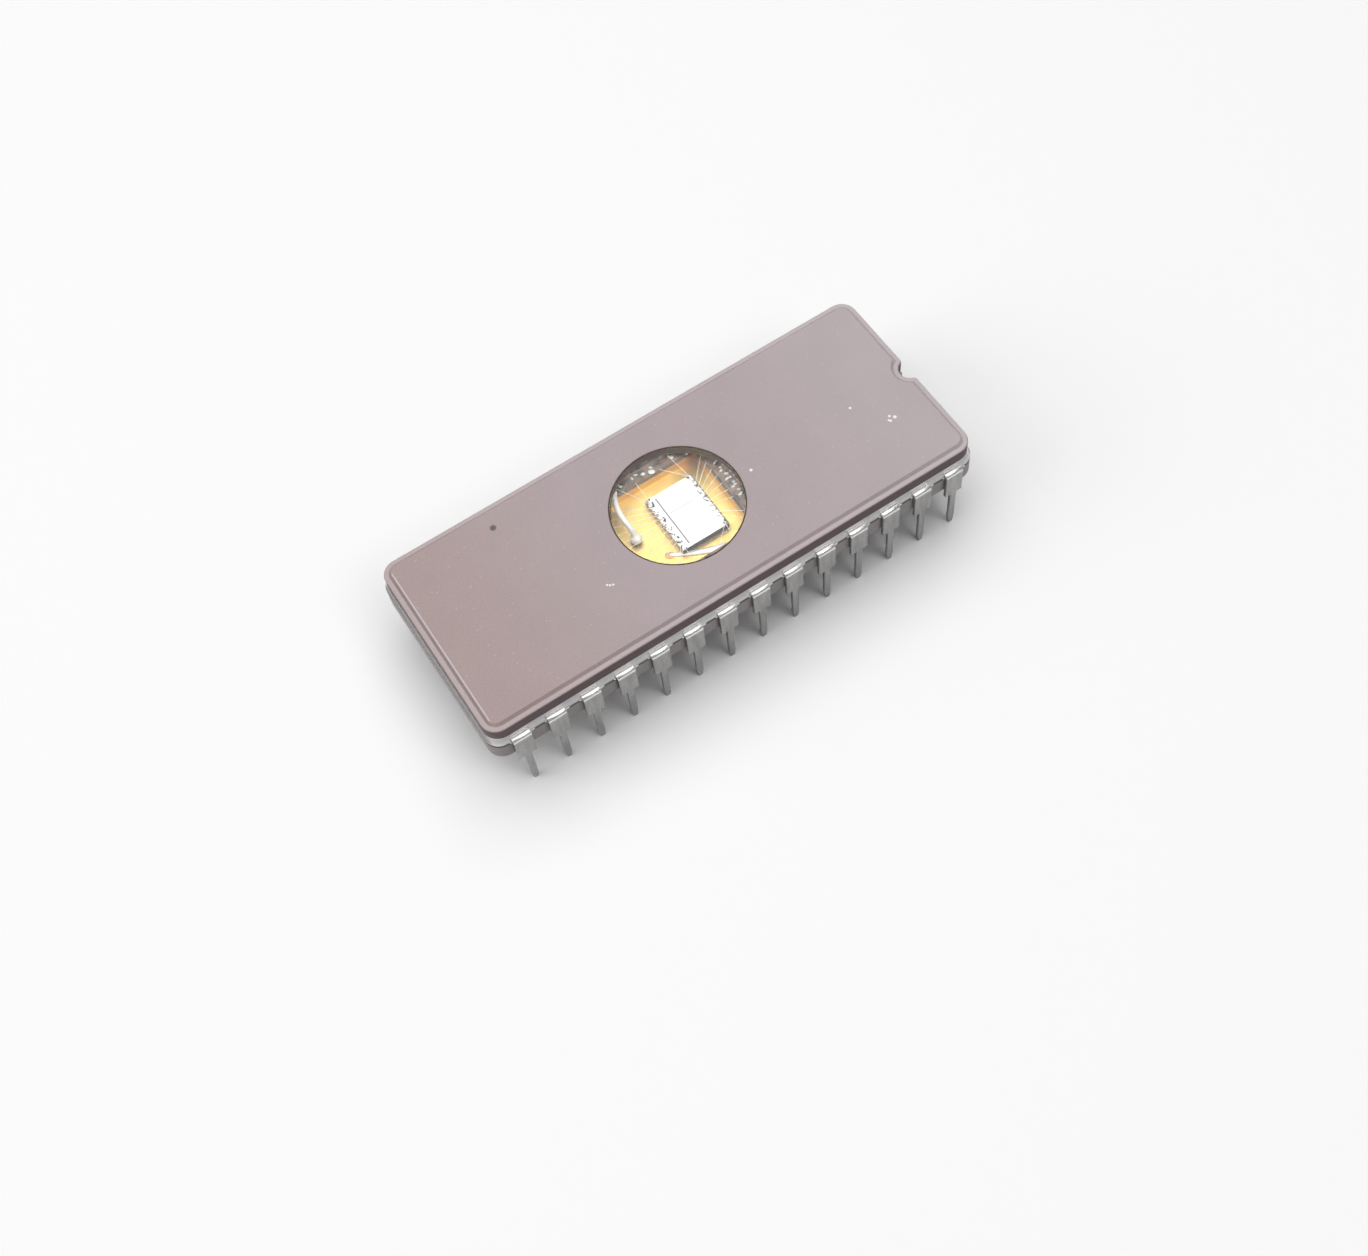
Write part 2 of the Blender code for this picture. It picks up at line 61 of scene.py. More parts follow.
BODY = "root"
MERGE_DISTANCE = 1e-6
SHARP_ANGLE = math.radians(38)
FLAT_ANGLE = math.radians(0.5)
LINE_BLUR = 0.00001
UPRIGHT_SHARE = 0.9
FOOT_FACETS = (12, 8)
MIX_COLOURS = (6, 7)
MIX_RESULT = 2
LEADS = 28
LOG = logging.getLogger("eprom_chip")


class Slot(Enum):
    """The names of the record's material slots; no piece here is given one."""

    CERAMIC = "ceramic"
    WINDOW = "window"
    FRIT = "frit"
    LEAD = "lead_plating"
    SOLDER = "solder"
    SILICON = "silicon"
    WIRE = "wire"


class Step(Enum):
    """The sums that a value node can do."""

    ADD = "ADD"
    TAKE = "SUBTRACT"
    TIMES = "MULTIPLY"
    SIZE = "ABSOLUTE"
    MOST = "MAXIMUM"
    REPEAT = "FRACT"


class NodeSheet:
    """One node-based material, built round a Principled shader."""

    def __init__(self, name: str) -> None:
        """Start the material.

        Args:
            name: the material's name.
        """
        self.material = bpy.data.materials.new(name)
        self.material.use_nodes = True
        self.tree = self.material.node_tree
        self.tree.nodes.clear()
        self.output = self.tree.nodes.new("ShaderNodeOutputMaterial")
        self.shader = self.tree.nodes.new("ShaderNodeBsdfPrincipled")
        self.tree.links.new(self.shader.outputs["BSDF"], self.output.inputs["Surface"])
        self.places = self.tree.nodes.new("ShaderNodeTexCoord").outputs["Object"]

    def feed(self, socket: Socket, level: Level) -> None:
        """Link a socket to another, or set it to a plain number."""
        if isinstance(level, Socket):
            self.tree.links.new(level, socket)
        else:
            socket.default_value = level

    def set(self, **settings: object) -> None:
        """Set the shader's own sockets; underscores stand for spaces in their names."""
        for key, value in settings.items():
            self.shader.inputs[key.replace("_", " ")].default_value = value

    def sum(self, step: Step, first: Level, second: Level = 0.0) -> Socket:
        """Work out one sum of two levels.

        Args:
            step: which sum.
            first: the first level.
            second: the second level, where the sum has one.

        Returns:
            The socket that holds the result.
        """
        node = self.tree.nodes.new("ShaderNodeMath")
        node.operation = step.value
        self.feed(node.inputs[0], first)
        self.feed(node.inputs[1], second)
        return node.outputs[0]

    def times(self, first: Level, *others: Level) -> Socket:
        """Return the product of some levels."""
        for other in others:
            first = self.sum(Step.TIMES, first, other)
        return first

    def size(self, level: Level) -> Socket:
        """Return how far a level is from 0."""
        return self.sum(Step.SIZE, level)

    def rest(self, level: Level) -> Socket:
        """Return what a level leaves of 1."""
        return self.sum(Step.TAKE, 1.0, level)

    def axes(self) -> Tuple[Socket, Socket, Socket]:
        """Return the X, Y and Z of the point being shaded."""
        node = self.tree.nodes.new("ShaderNodeSeparateXYZ")
        self.feed(node.inputs[0], self.places)
        return node.outputs[0], node.outputs[1], node.outputs[2]

    def stretched(self, scale: Place) -> Socket:
        """Return the point being shaded, scaled on each axis."""
        node = self.tree.nodes.new("ShaderNodeMapping")
        node.inputs["Scale"].default_value = scale
        self.feed(node.inputs["Vector"], self.places)
        return node.outputs[0]

    def noise(self, size: float, detail: float = 2.0, roughness: float = 0.5,
              places: Optional[Socket] = None) -> Socket:
        """Return a cloudy pattern.

        Args:
            size: the width of one cloud, in metres.
            detail: how many finer layers lie on it.
            roughness: how strong those layers are.
            places: the points to read, where they aren't the plain ones.

        Returns:
            The pattern's level, about 0.5 on average.
        """
        node = self.tree.nodes.new("ShaderNodeTexNoise")
        node.inputs["Scale"].default_value = 1.0 / size
        node.inputs["Detail"].default_value = detail
        node.inputs["Roughness"].default_value = roughness
        self.feed(node.inputs["Vector"], places or self.places)
        return node.outputs["Fac"]

    def cells(self, size: float) -> Socket:
        """Return the distance to the nearest of many scattered points, in cell widths."""
        node = self.tree.nodes.new("ShaderNodeTexVoronoi")
        node.inputs["Scale"].default_value = 1.0 / size
        self.feed(node.inputs["Vector"], self.places)
        return node.outputs["Distance"]

    def ramp(self, level: Level, low: float, high: float, bottom: float = 0.0,
             top: float = 1.0) -> Socket:
        """Carry a level smoothly from one range to another, held at both ends.

        Args:
            level: the level to read.
            low: the level that gives the bottom.
            high: the level that gives the top.
            bottom: the least result.
            top: the greatest result.

        Returns:
            The socket that holds the result.
        """
        node = self.tree.nodes.new("ShaderNodeMapRange")
        node.interpolation_type = "SMOOTHSTEP"
        self.feed(node.inputs["Value"], level)
        for name, value in (("From Min", low), ("From Max", high), ("To Min", bottom),
                            ("To Max", top)):
            node.inputs[name].default_value = value
        return node.outputs["Result"]

    def near(self, place: Place, radius: float, blur: float) -> Socket:
        """Return 1 within a radius of a place, falling to 0 over the blur."""
        node = self.tree.nodes.new("ShaderNodeVectorMath")
        node.operation = "DISTANCE"
        self.feed(node.inputs[0], self.places)
        node.inputs[1].default_value = place
        return self.ramp(node.outputs["Value"], radius, radius + blur, 1.0, 0.0)

    def mix(self, share: Level, first: Union[Colour, Socket],
            second: Union[Colour, Socket]) -> Socket:
        """Mix two colours; a share of 1 gives the second one."""
        node = self.tree.nodes.new("ShaderNodeMix")
        node.data_type = "RGBA"
        self.feed(node.inputs["Factor"], share)
        for index, colour in zip(MIX_COLOURS, (first, second)):
            self.feed(node.inputs[index],
                      colour if isinstance(colour, Socket) else (*colour, 1.0))
        return node.outputs[MIX_RESULT]

    def colour(self, level: Union[Colour, Socket]) -> None:
        """Give the shader its base colour."""
        self.feed(self.shader.inputs["Base Color"],
                  level if isinstance(level, Socket) else (*level, 1.0))

    def bump(self, level: Socket, depth: float, strength: float) -> None:
        """Raise the surface by a pattern.

        Args:
            level: the pattern.
            depth: how high a level of 1 stands, in metres.
            strength: how much of it shows.
        """
        node = self.tree.nodes.new("ShaderNodeBump")
        node.inputs["Distance"].default_value = depth
        node.inputs["Strength"].default_value = strength
        self.feed(node.inputs["Height"], level)
        self.tree.links.new(node.outputs["Normal"], self.shader.inputs["Normal"])


def by_ray(tree: bpy.types.NodeTree, ray: str, usual: Socket, other: Socket) -> Socket:
    """Show one shader to one kind of ray, and another to the rest.

    Args:
        tree: the nodes to add to.
        ray: the light path's name for the rays set apart.
        usual: the shader that the rest of the rays meet.
        other: the shader that those rays meet.

    Returns:
        The mixed shader.
    """
    path = tree.nodes.new("ShaderNodeLightPath")
    mixer = tree.nodes.new("ShaderNodeMixShader")
    for source, socket in zip((path.outputs[ray], usual, other), mixer.inputs):
        tree.links.new(source, socket)
    return mixer.outputs[0]


@dataclass(frozen=True)
class Mark:
    """A small mark on the lid: a fleck, a pit or one end of a scratch."""

    x: float
    y: float
    radius: float
    light: bool = True


@dataclass(frozen=True)
class CeramicFinish:
    """Matt pressed alumina: fine grain and pale specks, with painted light on the lid's rim and a
    painted shade band along the base's top.
    """

    name: str
    colour: Colour = (0.415, 0.338, 0.350)
    warm: Colour = (0.385, 0.288, 0.280)
    cool: Colour = (0.450, 0.385, 0.395)
    pale: Colour = (0.62, 0.55, 0.56)
    dark: Colour = (0.12, 0.10, 0.10)
    fleck: Colour = (0.92, 0.86, 0.88)
    # The lid's vertical side, a painted shade.
    side: Colour = (0.165, 0.11, 0.117)
    land_height: float = 0.0
    chamfer_end: float = -0.01783
    end_line_width: float = 0.0001
    end_line_reach: float = 0.0062
    end_line_fade: float = 0.0002
    slope_height: float = 0.0002
    side_depths: Span = (0.00009, 0.00005)
    # The dark band at the top of the base's side is a painted shade.
    seam_height: float = 0.0
    seam_width: float = 0.00024
    warm_span: Span = (-0.004, -0.017)
    cool_span: Span = (0.003, 0.018)
    seam_span: Span = (0.8, 0.0, 0.9)
    grain: Span = (0.00011, 3.0, 0.7)
    grain_span: Span = (0.35, 0.72, 0.0, 0.16)
    cloud: Span = (0.004, 3.0, 0.6)
    cloud_span: Span = (0.35, 0.7, 0.0, 0.05)
    dimple: float = 0.0006
    speck_spacing: float = 0.0006
    speck_span: Span = (0.05, 0.10, 0.55, 0.0)
    # Painted light on the lid's rim: highlights on the land, the +Y chamfer and the -Y end line,
    # shade on the -Y chamfer.
    land_highlight: float = 0.32
    slope_shade: float = 0.3
    far_slope_highlight: float = 0.5
    end_line_highlight: float = 0.8
    relief: Span = (0.00001, 0.5)
    roughness: float = 0.62
    index: float = 1.6
    marks: Tuple[Mark, ...] = ()
    mark_height: float = 0.0

    def build(self) -> Material:
        """Return the material."""
        sheet = NodeSheet(self.name)
        _, y, z = sheet.axes()
        warm = sheet.ramp(y, *self.warm_span)
        tone = sheet.mix(warm, self.colour, self.warm)
        tone = sheet.mix(sheet.ramp(y, *self.cool_span), tone, self.cool)
        grain = sheet.noise(*self.grain)
        tone = sheet.mix(sheet.ramp(grain, *self.grain_span), tone, self.pale)
        cloud = sheet.noise(*self.cloud)
        tone = sheet.mix(sheet.ramp(cloud, *self.cloud_span), tone, self.dark)
        specks = sheet.ramp(sheet.cells(self.speck_spacing), *self.speck_span)
        tone = sheet.mix(specks, tone, self.pale)
        if self.land_height:
            tone = self.pressed_rim(sheet, tone)
        if self.seam_height:
            # Painted shade: a dark band along the top of the base's side, where the glass meets
            # it.
            edge, least, most = self.seam_span
            seam_shade = sheet.ramp(z, self.seam_height - self.seam_width,
                              self.seam_height - self.seam_width * edge, least, most)
            tone = sheet.mix(seam_shade, tone, self.dark)
        for mark in self.marks:
            share = sheet.near((mark.x, mark.y, self.mark_height), mark.radius, mark.radius)
            tone = sheet.mix(share, tone, self.fleck if mark.light else self.dark)
        sheet.colour(tone)
        sheet.set(Roughness=self.roughness, IOR=self.index)
        height = sheet.sum(Step.ADD, grain, sheet.noise(self.dimple))
        sheet.bump(height, *self.relief)
        return sheet.material

    def pressed_rim(self, sheet: NodeSheet, tone: Socket) -> Socket:
        """Return the tone with the lid rim's painted light: highlights on the land, the +Y
        chamfer and a line along the -Y end, shade on the side and the -Y chamfer.
        """
        x, y, z = sheet.axes()
        # Painted highlight: the land round the lid's top is made paler than the flat top.
        off_land = sheet.size(sheet.sum(Step.TAKE, z, self.land_height))
        on_land = sheet.ramp(off_land, LINE_BLUR, 5 * LINE_BLUR, self.land_highlight, 0.0)
        tone = sheet.mix(on_land, tone, self.pale)
        # Painted shade: the lid's vertical side takes the dark side colour.
        low, high = (self.land_height - depth for depth in self.side_depths)
        tone = sheet.mix(sheet.ramp(z, low, high, 1.0, 0.0), tone, self.side)
        # Painted shade: the chamfer at the -Y end is darkened.
        on_slope = sheet.ramp(z, self.land_height + LINE_BLUR, self.land_height + 3 * LINE_BLUR)
        at_end = sheet.ramp(y, self.chamfer_end, self.chamfer_end + LINE_BLUR, 1.0, 0.0)
        shade = sheet.times(on_slope, at_end, self.slope_shade)
        tone = sheet.mix(shade, tone, self.dark)
        # Painted highlight: the chamfer at the +Y end is made paler.
        top = self.land_height + self.slope_height
        below_top = sheet.ramp(z, top - 3 * LINE_BLUR, top - LINE_BLUR, 1.0, 0.0)
        far = sheet.ramp(y, -self.chamfer_end - LINE_BLUR, -self.chamfer_end, 0.0,
                         self.far_slope_highlight)
        tone = sheet.mix(sheet.times(on_slope, below_top, far), tone, self.pale)
        # Painted highlight: a pale line along the -Y end, just inside the chamfer's top edge.
        line_end = self.chamfer_end + self.end_line_width
        line = sheet.ramp(y, line_end, line_end + 2 * LINE_BLUR, self.end_line_highlight, 0.0)
        straight = sheet.ramp(sheet.size(x), self.end_line_reach,
                              self.end_line_reach + self.end_line_fade, 1.0, 0.0)
        line = sheet.times(line, sheet.rest(at_end), sheet.rest(below_top), straight)
        return sheet.mix(line, tone, self.pale)


@dataclass(frozen=True)
class FritFinish:
    """Fused seal glass: pale grey outside; round the cavity and at both ends darker, a painted
    shade.
    """

    name: str = "fused seal glass"
    outer: Colour = (0.95, 0.93, 0.94)
    outer_shade: Colour = (0.74, 0.72, 0.73)
    # The glass at both ends is darker, a painted shade.
    end: Colour = (0.34, 0.31, 0.31)
    # The dark colours round the cavity are a painted shade.
    inner: Colour = (0.26, 0.150, 0.105)
    inner_shade: Colour = (0.05, 0.034, 0.026)
    end_reach: float = 0.01815
    end_blur: float = 0.0003
    shade_reach: float = 0.0060
    blur: float = 0.0008
    swirl: Span = (0.0007, 4.0, 0.6)
    outer_span: Span = (0.4, 0.75, 0.0, 0.5)
    inner_span: Span = (0.38, 0.62)
    ripple: float = 0.0006
    relief: Span = (0.00002, 0.4)
    roughness: float = 0.14
    index: float = 1.75

    def build(self) -> Material:
        """Return the material."""
        sheet = NodeSheet(self.name)
        x, y, _ = sheet.axes()
        # Painted shade: near the middle the glass takes the dark inner colours.
        reach = sheet.sum(Step.MOST, sheet.size(x), sheet.size(y))
        outside = sheet.ramp(reach, self.shade_reach, self.shade_reach + self.blur)
        swirl = sheet.noise(*self.swirl)
        outer = sheet.mix(sheet.ramp(swirl, *self.outer_span), self.outer, self.outer_shade)
        inner = sheet.mix(sheet.ramp(swirl, *self.inner_span), self.inner, self.inner_shade)
        # Painted shade: the glass at both ends is darker.
        at_end = sheet.ramp(sheet.size(y), self.end_reach, self.end_reach + self.end_blur)
        outer = sheet.mix(at_end, outer, self.end)
        sheet.colour(sheet.mix(outside, inner, outer))
        sheet.set(Roughness=self.roughness, IOR=self.index)
        sheet.bump(sheet.noise(self.ripple), *self.relief)
        return sheet.material


@dataclass(frozen=True)
class TinFinish:
    """Bright tin over nickel iron, with painted light: a highlight on the top of the bend, shade
    on the legs below it and, partly, on the fingers inside.
    """

    name: str = "tin plated lead"
    bright: Colour = (0.94, 0.93, 0.90)
    leg_shade: Colour = (0.40, 0.395, 0.39)
    stained: Colour = (0.25, 0.245, 0.245)
    covered_and_shaded: Colour = (0.24, 0.205, 0.185)
    crest_highlight: Colour = (1.0, 1.0, 0.97)
    highlight_heights: Span = (0.00594, 0.00609)
    leg_shade_span: Span = (0.00592, 0.00575)
    cover_reach: float = 0.0065
    cover_blur: float = 0.0003
    streak: Span = (0.00045, 3.0, 0.55)
    streak_stretch: Place = (1.0, 1.0, 0.18)
    relief: Span = (0.000004, 0.12)
    stain_span: Span = (0.35, 0.75, 0.0, 0.6)
    roughness_span: Span = (0.3, 0.75, 0.26, 0.36)
    metallic: float = 0.8

    def build(self) -> Material:
        """Return the material."""
        sheet = NodeSheet(self.name)
        x, _, z = sheet.axes()
        streaks = sheet.noise(*self.streak, sheet.stretched(self.streak_stretch))
        # Painted shade: below the top of the bend the legs take the dark leg colour, with random
        # streaks.
        down = sheet.ramp(z, *self.leg_shade_span)
        stain = sheet.ramp(streaks, *self.stain_span)
        shaded_leg = sheet.mix(stain, self.leg_shade, self.stained)
        tone = sheet.mix(down, self.bright, shaded_leg)
        # Painted highlight: a white band round the top of the bend.
        low, high = self.highlight_heights
        crest_highlight = sheet.times(sheet.ramp(z, low, low + 3 * LINE_BLUR),
                            sheet.ramp(z, high - LINE_BLUR, high, 1.0, 0.0))
        tone = sheet.mix(crest_highlight, tone, self.crest_highlight)
        # The fingers inside take a dark brownish grey: partly the glass over them and partly
        # painted shade under the lid.
        inside = sheet.ramp(sheet.size(x), self.cover_reach,
                            self.cover_reach + self.cover_blur, 1.0, 0.0)
        sheet.colour(sheet.mix(inside, tone, self.covered_and_shaded))
        sheet.set(Metallic=self.metallic)
        sheet.feed(sheet.shader.inputs["Roughness"], sheet.ramp(streaks, *self.roughness_span))
        sheet.bump(sheet.times(streaks, down), *self.relief)
        return sheet.material


@dataclass(frozen=True)
class GoldFinish:
    """Fired gold with an uneven satin skin, painted darker on its upright sides and towards the
    far corner as shade.
    """

    name: str = "fired gold"
    bright: Colour = (0.92, 0.68, 0.22)
    brown: Colour = (0.84, 0.58, 0.18)
    wall_shade: Colour = (0.66, 0.39, 0.115)
    corner: Colour = (0.50, 0.24, 0.035)
    wall_height: float = 0.0050
    wall_blur: float = 0.0002
    corner_place: Place = (-0.00358, 0.00358, 0.0053)
    corner_radius: float = 0.0002
    corner_blur: float = 0.0017
    skin: Span = (0.0009, 4.0, 0.62)
    skin_span: Span = (0.38, 0.75)
    roughness_span: Span = (0.3, 0.7, 0.34, 0.42)
    metallic: float = 0.8
    grain: Span = (0.00025, 3.0)
    relief: Span = (0.00001, 0.2)

    def build(self) -> Material:
        """Return the material."""
        sheet = NodeSheet(self.name)
        skin = sheet.noise(*self.skin)
        tone = sheet.mix(sheet.ramp(skin, *self.skin_span), self.bright, self.brown)
        # Painted shade: the gold's upright sides take the darker orange.
        up = sheet.ramp(sheet.axes()[2], self.wall_height, self.wall_height + self.wall_blur)
        tone = sheet.mix(up, tone, self.wall_shade)
        # Painted shade: the gold darkens towards the far corner of the cavity.
        dim = sheet.near(self.corner_place, self.corner_radius, self.corner_blur)
        sheet.colour(sheet.mix(dim, tone, self.corner))
        sheet.set(Metallic=self.metallic)
        sheet.feed(sheet.shader.inputs["Roughness"], sheet.ramp(skin, *self.roughness_span))
        sheet.bump(sheet.noise(*self.grain), *self.relief)
        return sheet.material


@dataclass(frozen=True)
class MetalFinish:
    """A plain bright metal with a faint grain."""

    name: str
    colour: Colour
    shade: Colour
    roughness: float
    grain: float = 0.0001
    metallic: float = 1.0
    grain_layers: Span = (3.0, 0.6)
    grain_span: Span = (0.35, 0.75)
    relief: Span = (0.000004, 0.5)

    def build(self) -> Material:
        """Return the material."""
        sheet = NodeSheet(self.name)
        grain = sheet.noise(self.grain, *self.grain_layers)
        sheet.colour(sheet.mix(sheet.ramp(grain, *self.grain_span), self.colour, self.shade))
        sheet.set(Metallic=self.metallic, Roughness=self.roughness)
        sheet.bump(grain, *self.relief)
        return sheet.material


@dataclass(frozen=True)
class SiliconFinish:
    """The die's face: bright memory arrays, a dark gap and circuits along both ends, with a
    painted shadow line along the +Y edge and a painted gold reflection on the -Y side.
    """

    centre: Tuple[float, float]
    half: Tuple[float, float]
    name: str = "patterned silicon"
    face: Colour = (0.62, 0.62, 0.63)
    stripe: Colour = (0.50, 0.52, 0.58)
    dark: Colour = (0.03, 0.03, 0.035)
    pink: Colour = (0.46, 0.29, 0.27)
    front_side_reflection: Colour = (0.66, 0.52, 0.33)
    side_height: float = 0.0
    gap_place: float = -0.00115
    gap_width: float = 0.00008
    gap_reach: float = 0.00205
    split_place: float = -0.00056
    split_width: float = 0.00008
    split_from: float = -0.00095
    split_to: float = 0.0009
    split_fade: float = 0.00005
    band_fade: float = 0.000008
    edge_strip: float = 0.00038
    edge_shadow_width: float = 0.00008
    edge_shadow_darkness: float = 0.85
    gap_darkness: float = 0.85
    split_paleness: float = 0.6
    stripe_pitch: float = 0.00006
    stripe_span: Span = (0.35, 0.65, 0.0, 0.10)
    row_pitch: float = 0.00045
    row_span: Span = (0.93, 0.97, 0.0, 0.12)
    circuit_pattern: Span = (0.00024, 1.0, 0.4)
    circuit_span: Span = (0.55, 0.59)
    roughness: Span = (0.13, 0.7)
    metallic: Span = (0.92, 0.0)
    mirror: float = 0.1

    def band(self, sheet: NodeSheet, level: Socket, place: float, width: float) -> Socket:
        """Return 1 on a narrow band about a place, and 0 beside it."""
        off = sheet.size(sheet.sum(Step.TAKE, level, place))
        return sheet.ramp(off, width / 2, width / 2 + self.band_fade, 1.0, 0.0)

    def build(self) -> Material:
        """Return the material."""
        sheet = NodeSheet(self.name)
        x, y, z = sheet.axes()
        u = sheet.sum(Step.TAKE, x, self.centre[0])
        v = sheet.sum(Step.TAKE, y, self.centre[1])
        fine = sheet.sum(Step.REPEAT, sheet.times(u, 1 / self.stripe_pitch))
        tone = sheet.mix(sheet.ramp(fine, *self.stripe_span), self.face, self.stripe)
        rows = sheet.sum(Step.REPEAT, sheet.times(v, 1 / self.row_pitch))
        tone = sheet.mix(sheet.ramp(rows, *self.row_span), tone, self.dark)
        strip = self.half[1] - self.edge_strip
        at_ends = sheet.ramp(sheet.size(v), strip, strip + LINE_BLUR)
        circuits = sheet.ramp(sheet.noise(*self.circuit_pattern), *self.circuit_span)
        tone = sheet.mix(sheet.times(circuits, at_ends), tone, self.dark)
        across = sheet.ramp(sheet.size(u), self.gap_reach, self.gap_reach + 2 * LINE_BLUR,
                            1.0, 0.0)
        gap = self.band(sheet, v, self.gap_place, self.gap_width)
        tone = sheet.mix(sheet.times(gap, across, self.gap_darkness), tone, self.dark)
        along = sheet.times(
            sheet.ramp(v, self.split_to - self.split_fade, self.split_to, 1.0, 0.0),
            sheet.ramp(v, self.split_from, self.split_from + self.split_fade))
        split = self.band(sheet, u, self.split_place, self.split_width)
        tone = sheet.mix(sheet.times(split, along, self.split_paleness), tone, self.pink)
        below = sheet.ramp(z, self.side_height - 3 * LINE_BLUR,
                           self.side_height - 2 * LINE_BLUR, 1.0, 0.0)
        # Painted shadow: a dark line along the die's +Y edge.
        line = self.half[1] - self.edge_shadow_width
        edge = sheet.ramp(v, line, line + LINE_BLUR, 0.0, self.edge_shadow_darkness)
        tone = sheet.mix(edge, tone, self.dark)
        # Painted reflection: the die's -Y side takes a pale gold colour; its other sides stay
        # dark.
        front = sheet.ramp(v, 2 * LINE_BLUR - self.half[1], 3 * LINE_BLUR - self.half[1],
                           1.0, 0.0)
        tone = sheet.mix(below, tone, sheet.mix(front, self.dark, self.front_side_reflection))
        sheet.colour(tone)
        for name, span in (("Roughness", self.roughness), ("Metallic", self.metallic)):
            sheet.feed(sheet.shader.inputs[name], sheet.ramp(below, 0.0, 1.0, *span))
        sheet.set(Specular_IOR_Level=self.mirror)
        return sheet.material


@dataclass(frozen=True)
class ClearFinish:
    """Clear polished glass that lets the lamps through to what lies behind it."""

    name: str = "window glass"
    index: float = 1.46
    tint: Colour = (0.99, 0.995, 0.98)

    def build(self) -> Material:
        """Return the material."""
        sheet = NodeSheet(self.name)
        sheet.set(Roughness=0.0, IOR=self.index, Transmission_Weight=1.0)
        sheet.shader.inputs["Base Color"].default_value = (*self.tint, 1.0)
        through = sheet.tree.nodes.new("ShaderNodeBsdfTransparent")
        through.inputs["Color"].default_value = (*self.tint, 1.0)
        mixed = by_ray(sheet.tree, "Is Shadow Ray", sheet.shader.outputs[0], through.outputs[0])
        sheet.feed(sheet.output.inputs["Surface"], mixed)
        return sheet.material


def put(name: str, content: bpy.types.ID) -> bpy.types.Object:
    """Put a new object with some content, such as a mesh or a lamp, in the scene."""
    thing = bpy.data.objects.new(name, content)
    bpy.context.scene.collection.objects.link(thing)
    return thing


def mesh_of(name: str, bm: BMesh, material: Material) -> bpy.types.Mesh:
    """Turn a bmesh, which is freed, into a mesh with one finish."""
    mesh = bpy.data.meshes.new(name)
    bm.to_mesh(mesh)
    bm.free()
    mesh.materials.append(material)
    return mesh


def add_piece(name: str, bm: BMesh, material: Material,
              replaced: Sequence[str] = ()) -> bpy.types.Object:
    """Turn a bmesh into a piece that rides on the part's one body.

    Args:
        name: the piece's name.
        bm: its mesh, already in place; it is freed.
        material: its finish.
        replaced: the CAD nodes it stands for.

    Returns:
        The new object.
    """
    mesh = mesh_of(name, bm, material)
    mesh.shade_smooth()
    mesh.set_sharp_from_angle(angle=SHARP_ANGLE)
    piece = put(name, mesh)
    level = piece.modifiers.new("level faces", "WEIGHTED_NORMAL")
    level.mode = "FACE_AREA"
    level.weight = 100
    level.keep_sharp = True
    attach(piece, BODY)
    if replaced:
        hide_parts(*replaced)
    LOG.info("piece %s: %d faces", name, len(mesh.polygons))
    return piece


def dress_node(name: str, material: Material) -> None:
    """Give a CAD node its finish."""
    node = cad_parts[name]
    node.data.materials.clear()
    node.data.materials.append(material)
    LOG.info("node %s dressed", name)


def merged_node(name: str) -> BMesh:
    """Return a copy of a CAD node's mesh with its loose triangles joined into whole faces."""
    bm = bmesh.new()
    bm.from_mesh(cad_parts[name].data)
    bmesh.ops.remove_doubles(bm, verts=bm.verts, dist=MERGE_DISTANCE)
    bmesh.ops.dissolve_limit(bm, angle_limit=FLAT_ANGLE, use_dissolve_boundaries=False,
                             verts=bm.verts, edges=bm.edges, delimit=set())
    return bm


def round_edges(bm: BMesh, edges: List[bmesh.types.BMEdge], width: float,
                segments: int = 2) -> None:
    """Round some of a mesh's edges.

    Args:
        bm: the mesh.
        edges: the edges to round.
        width: how far the rounding reaches from each edge.
        segments: how many faces make up the rounding.
    """
    bmesh.ops.bevel(bm, geom=edges, offset=width, segments=segments, profile=0.5,
                    affect="EDGES", material=-1, clamp_overlap=True)


def soften_edges(bm: BMesh, width: float, sharp: float = 30.0) -> None:
    """Round the edges of a mesh that turn by more than a number of degrees."""
    round_edges(bm, [edge for edge in bm.edges if edge.is_manifold
                     and edge.calc_face_angle() > math.radians(sharp)], width)


def turned(profile: Iterable[Tuple[float, float]], steps: int,
           place: Place = (0.0, 0.0, 0.0)) -> BMesh:
    """Spin a profile of radius and height pairs about an upright axis.

    Args:
        profile: the pairs, from one end of the profile to the other.
        steps: how many faces go round.
        place: where the axis meets the profile's zero height.

    Returns:
        The turned mesh.
    """
    bm = bmesh.new()
    verts = [bm.verts.new((radius, 0.0, height)) for radius, height in profile]
    edges = [bm.edges.new(pair) for pair in zip(verts, verts[1:])]
    bmesh.ops.spin(bm, geom=verts + edges, cent=(0.0, 0.0, 0.0), axis=(0.0, 0.0, 1.0),
                   angle=2 * math.pi, steps=steps, use_merge=True)
    bmesh.ops.remove_doubles(bm, verts=bm.verts, dist=MERGE_DISTANCE)
    bmesh.ops.recalc_face_normals(bm, faces=bm.faces)
    bmesh.ops.translate(bm, verts=bm.verts, vec=place)
    return bm


def block(low: Place, high: Place) -> BMesh:
    """Return a plain block between two corners, to be worked further."""
    bm = bmesh.new()
    bmesh.ops.create_cube(bm, size=1.0)
    size = [b - a for a, b in zip(low, high)]
    middle = [(a + b) / 2 for a, b in zip(low, high)]
    bmesh.ops.scale(bm, verts=bm.verts, vec=size)
    bmesh.ops.translate(bm, verts=bm.verts, vec=middle)
    return bm


def upright_edges(bm: BMesh) -> List[bmesh.types.BMEdge]:
    """Return the edges that run along Z."""
    return [edge for edge in bm.edges
            if abs(edge.verts[0].co.z - edge.verts[1].co.z) > UPRIGHT_SHARE * edge.calc_length()]


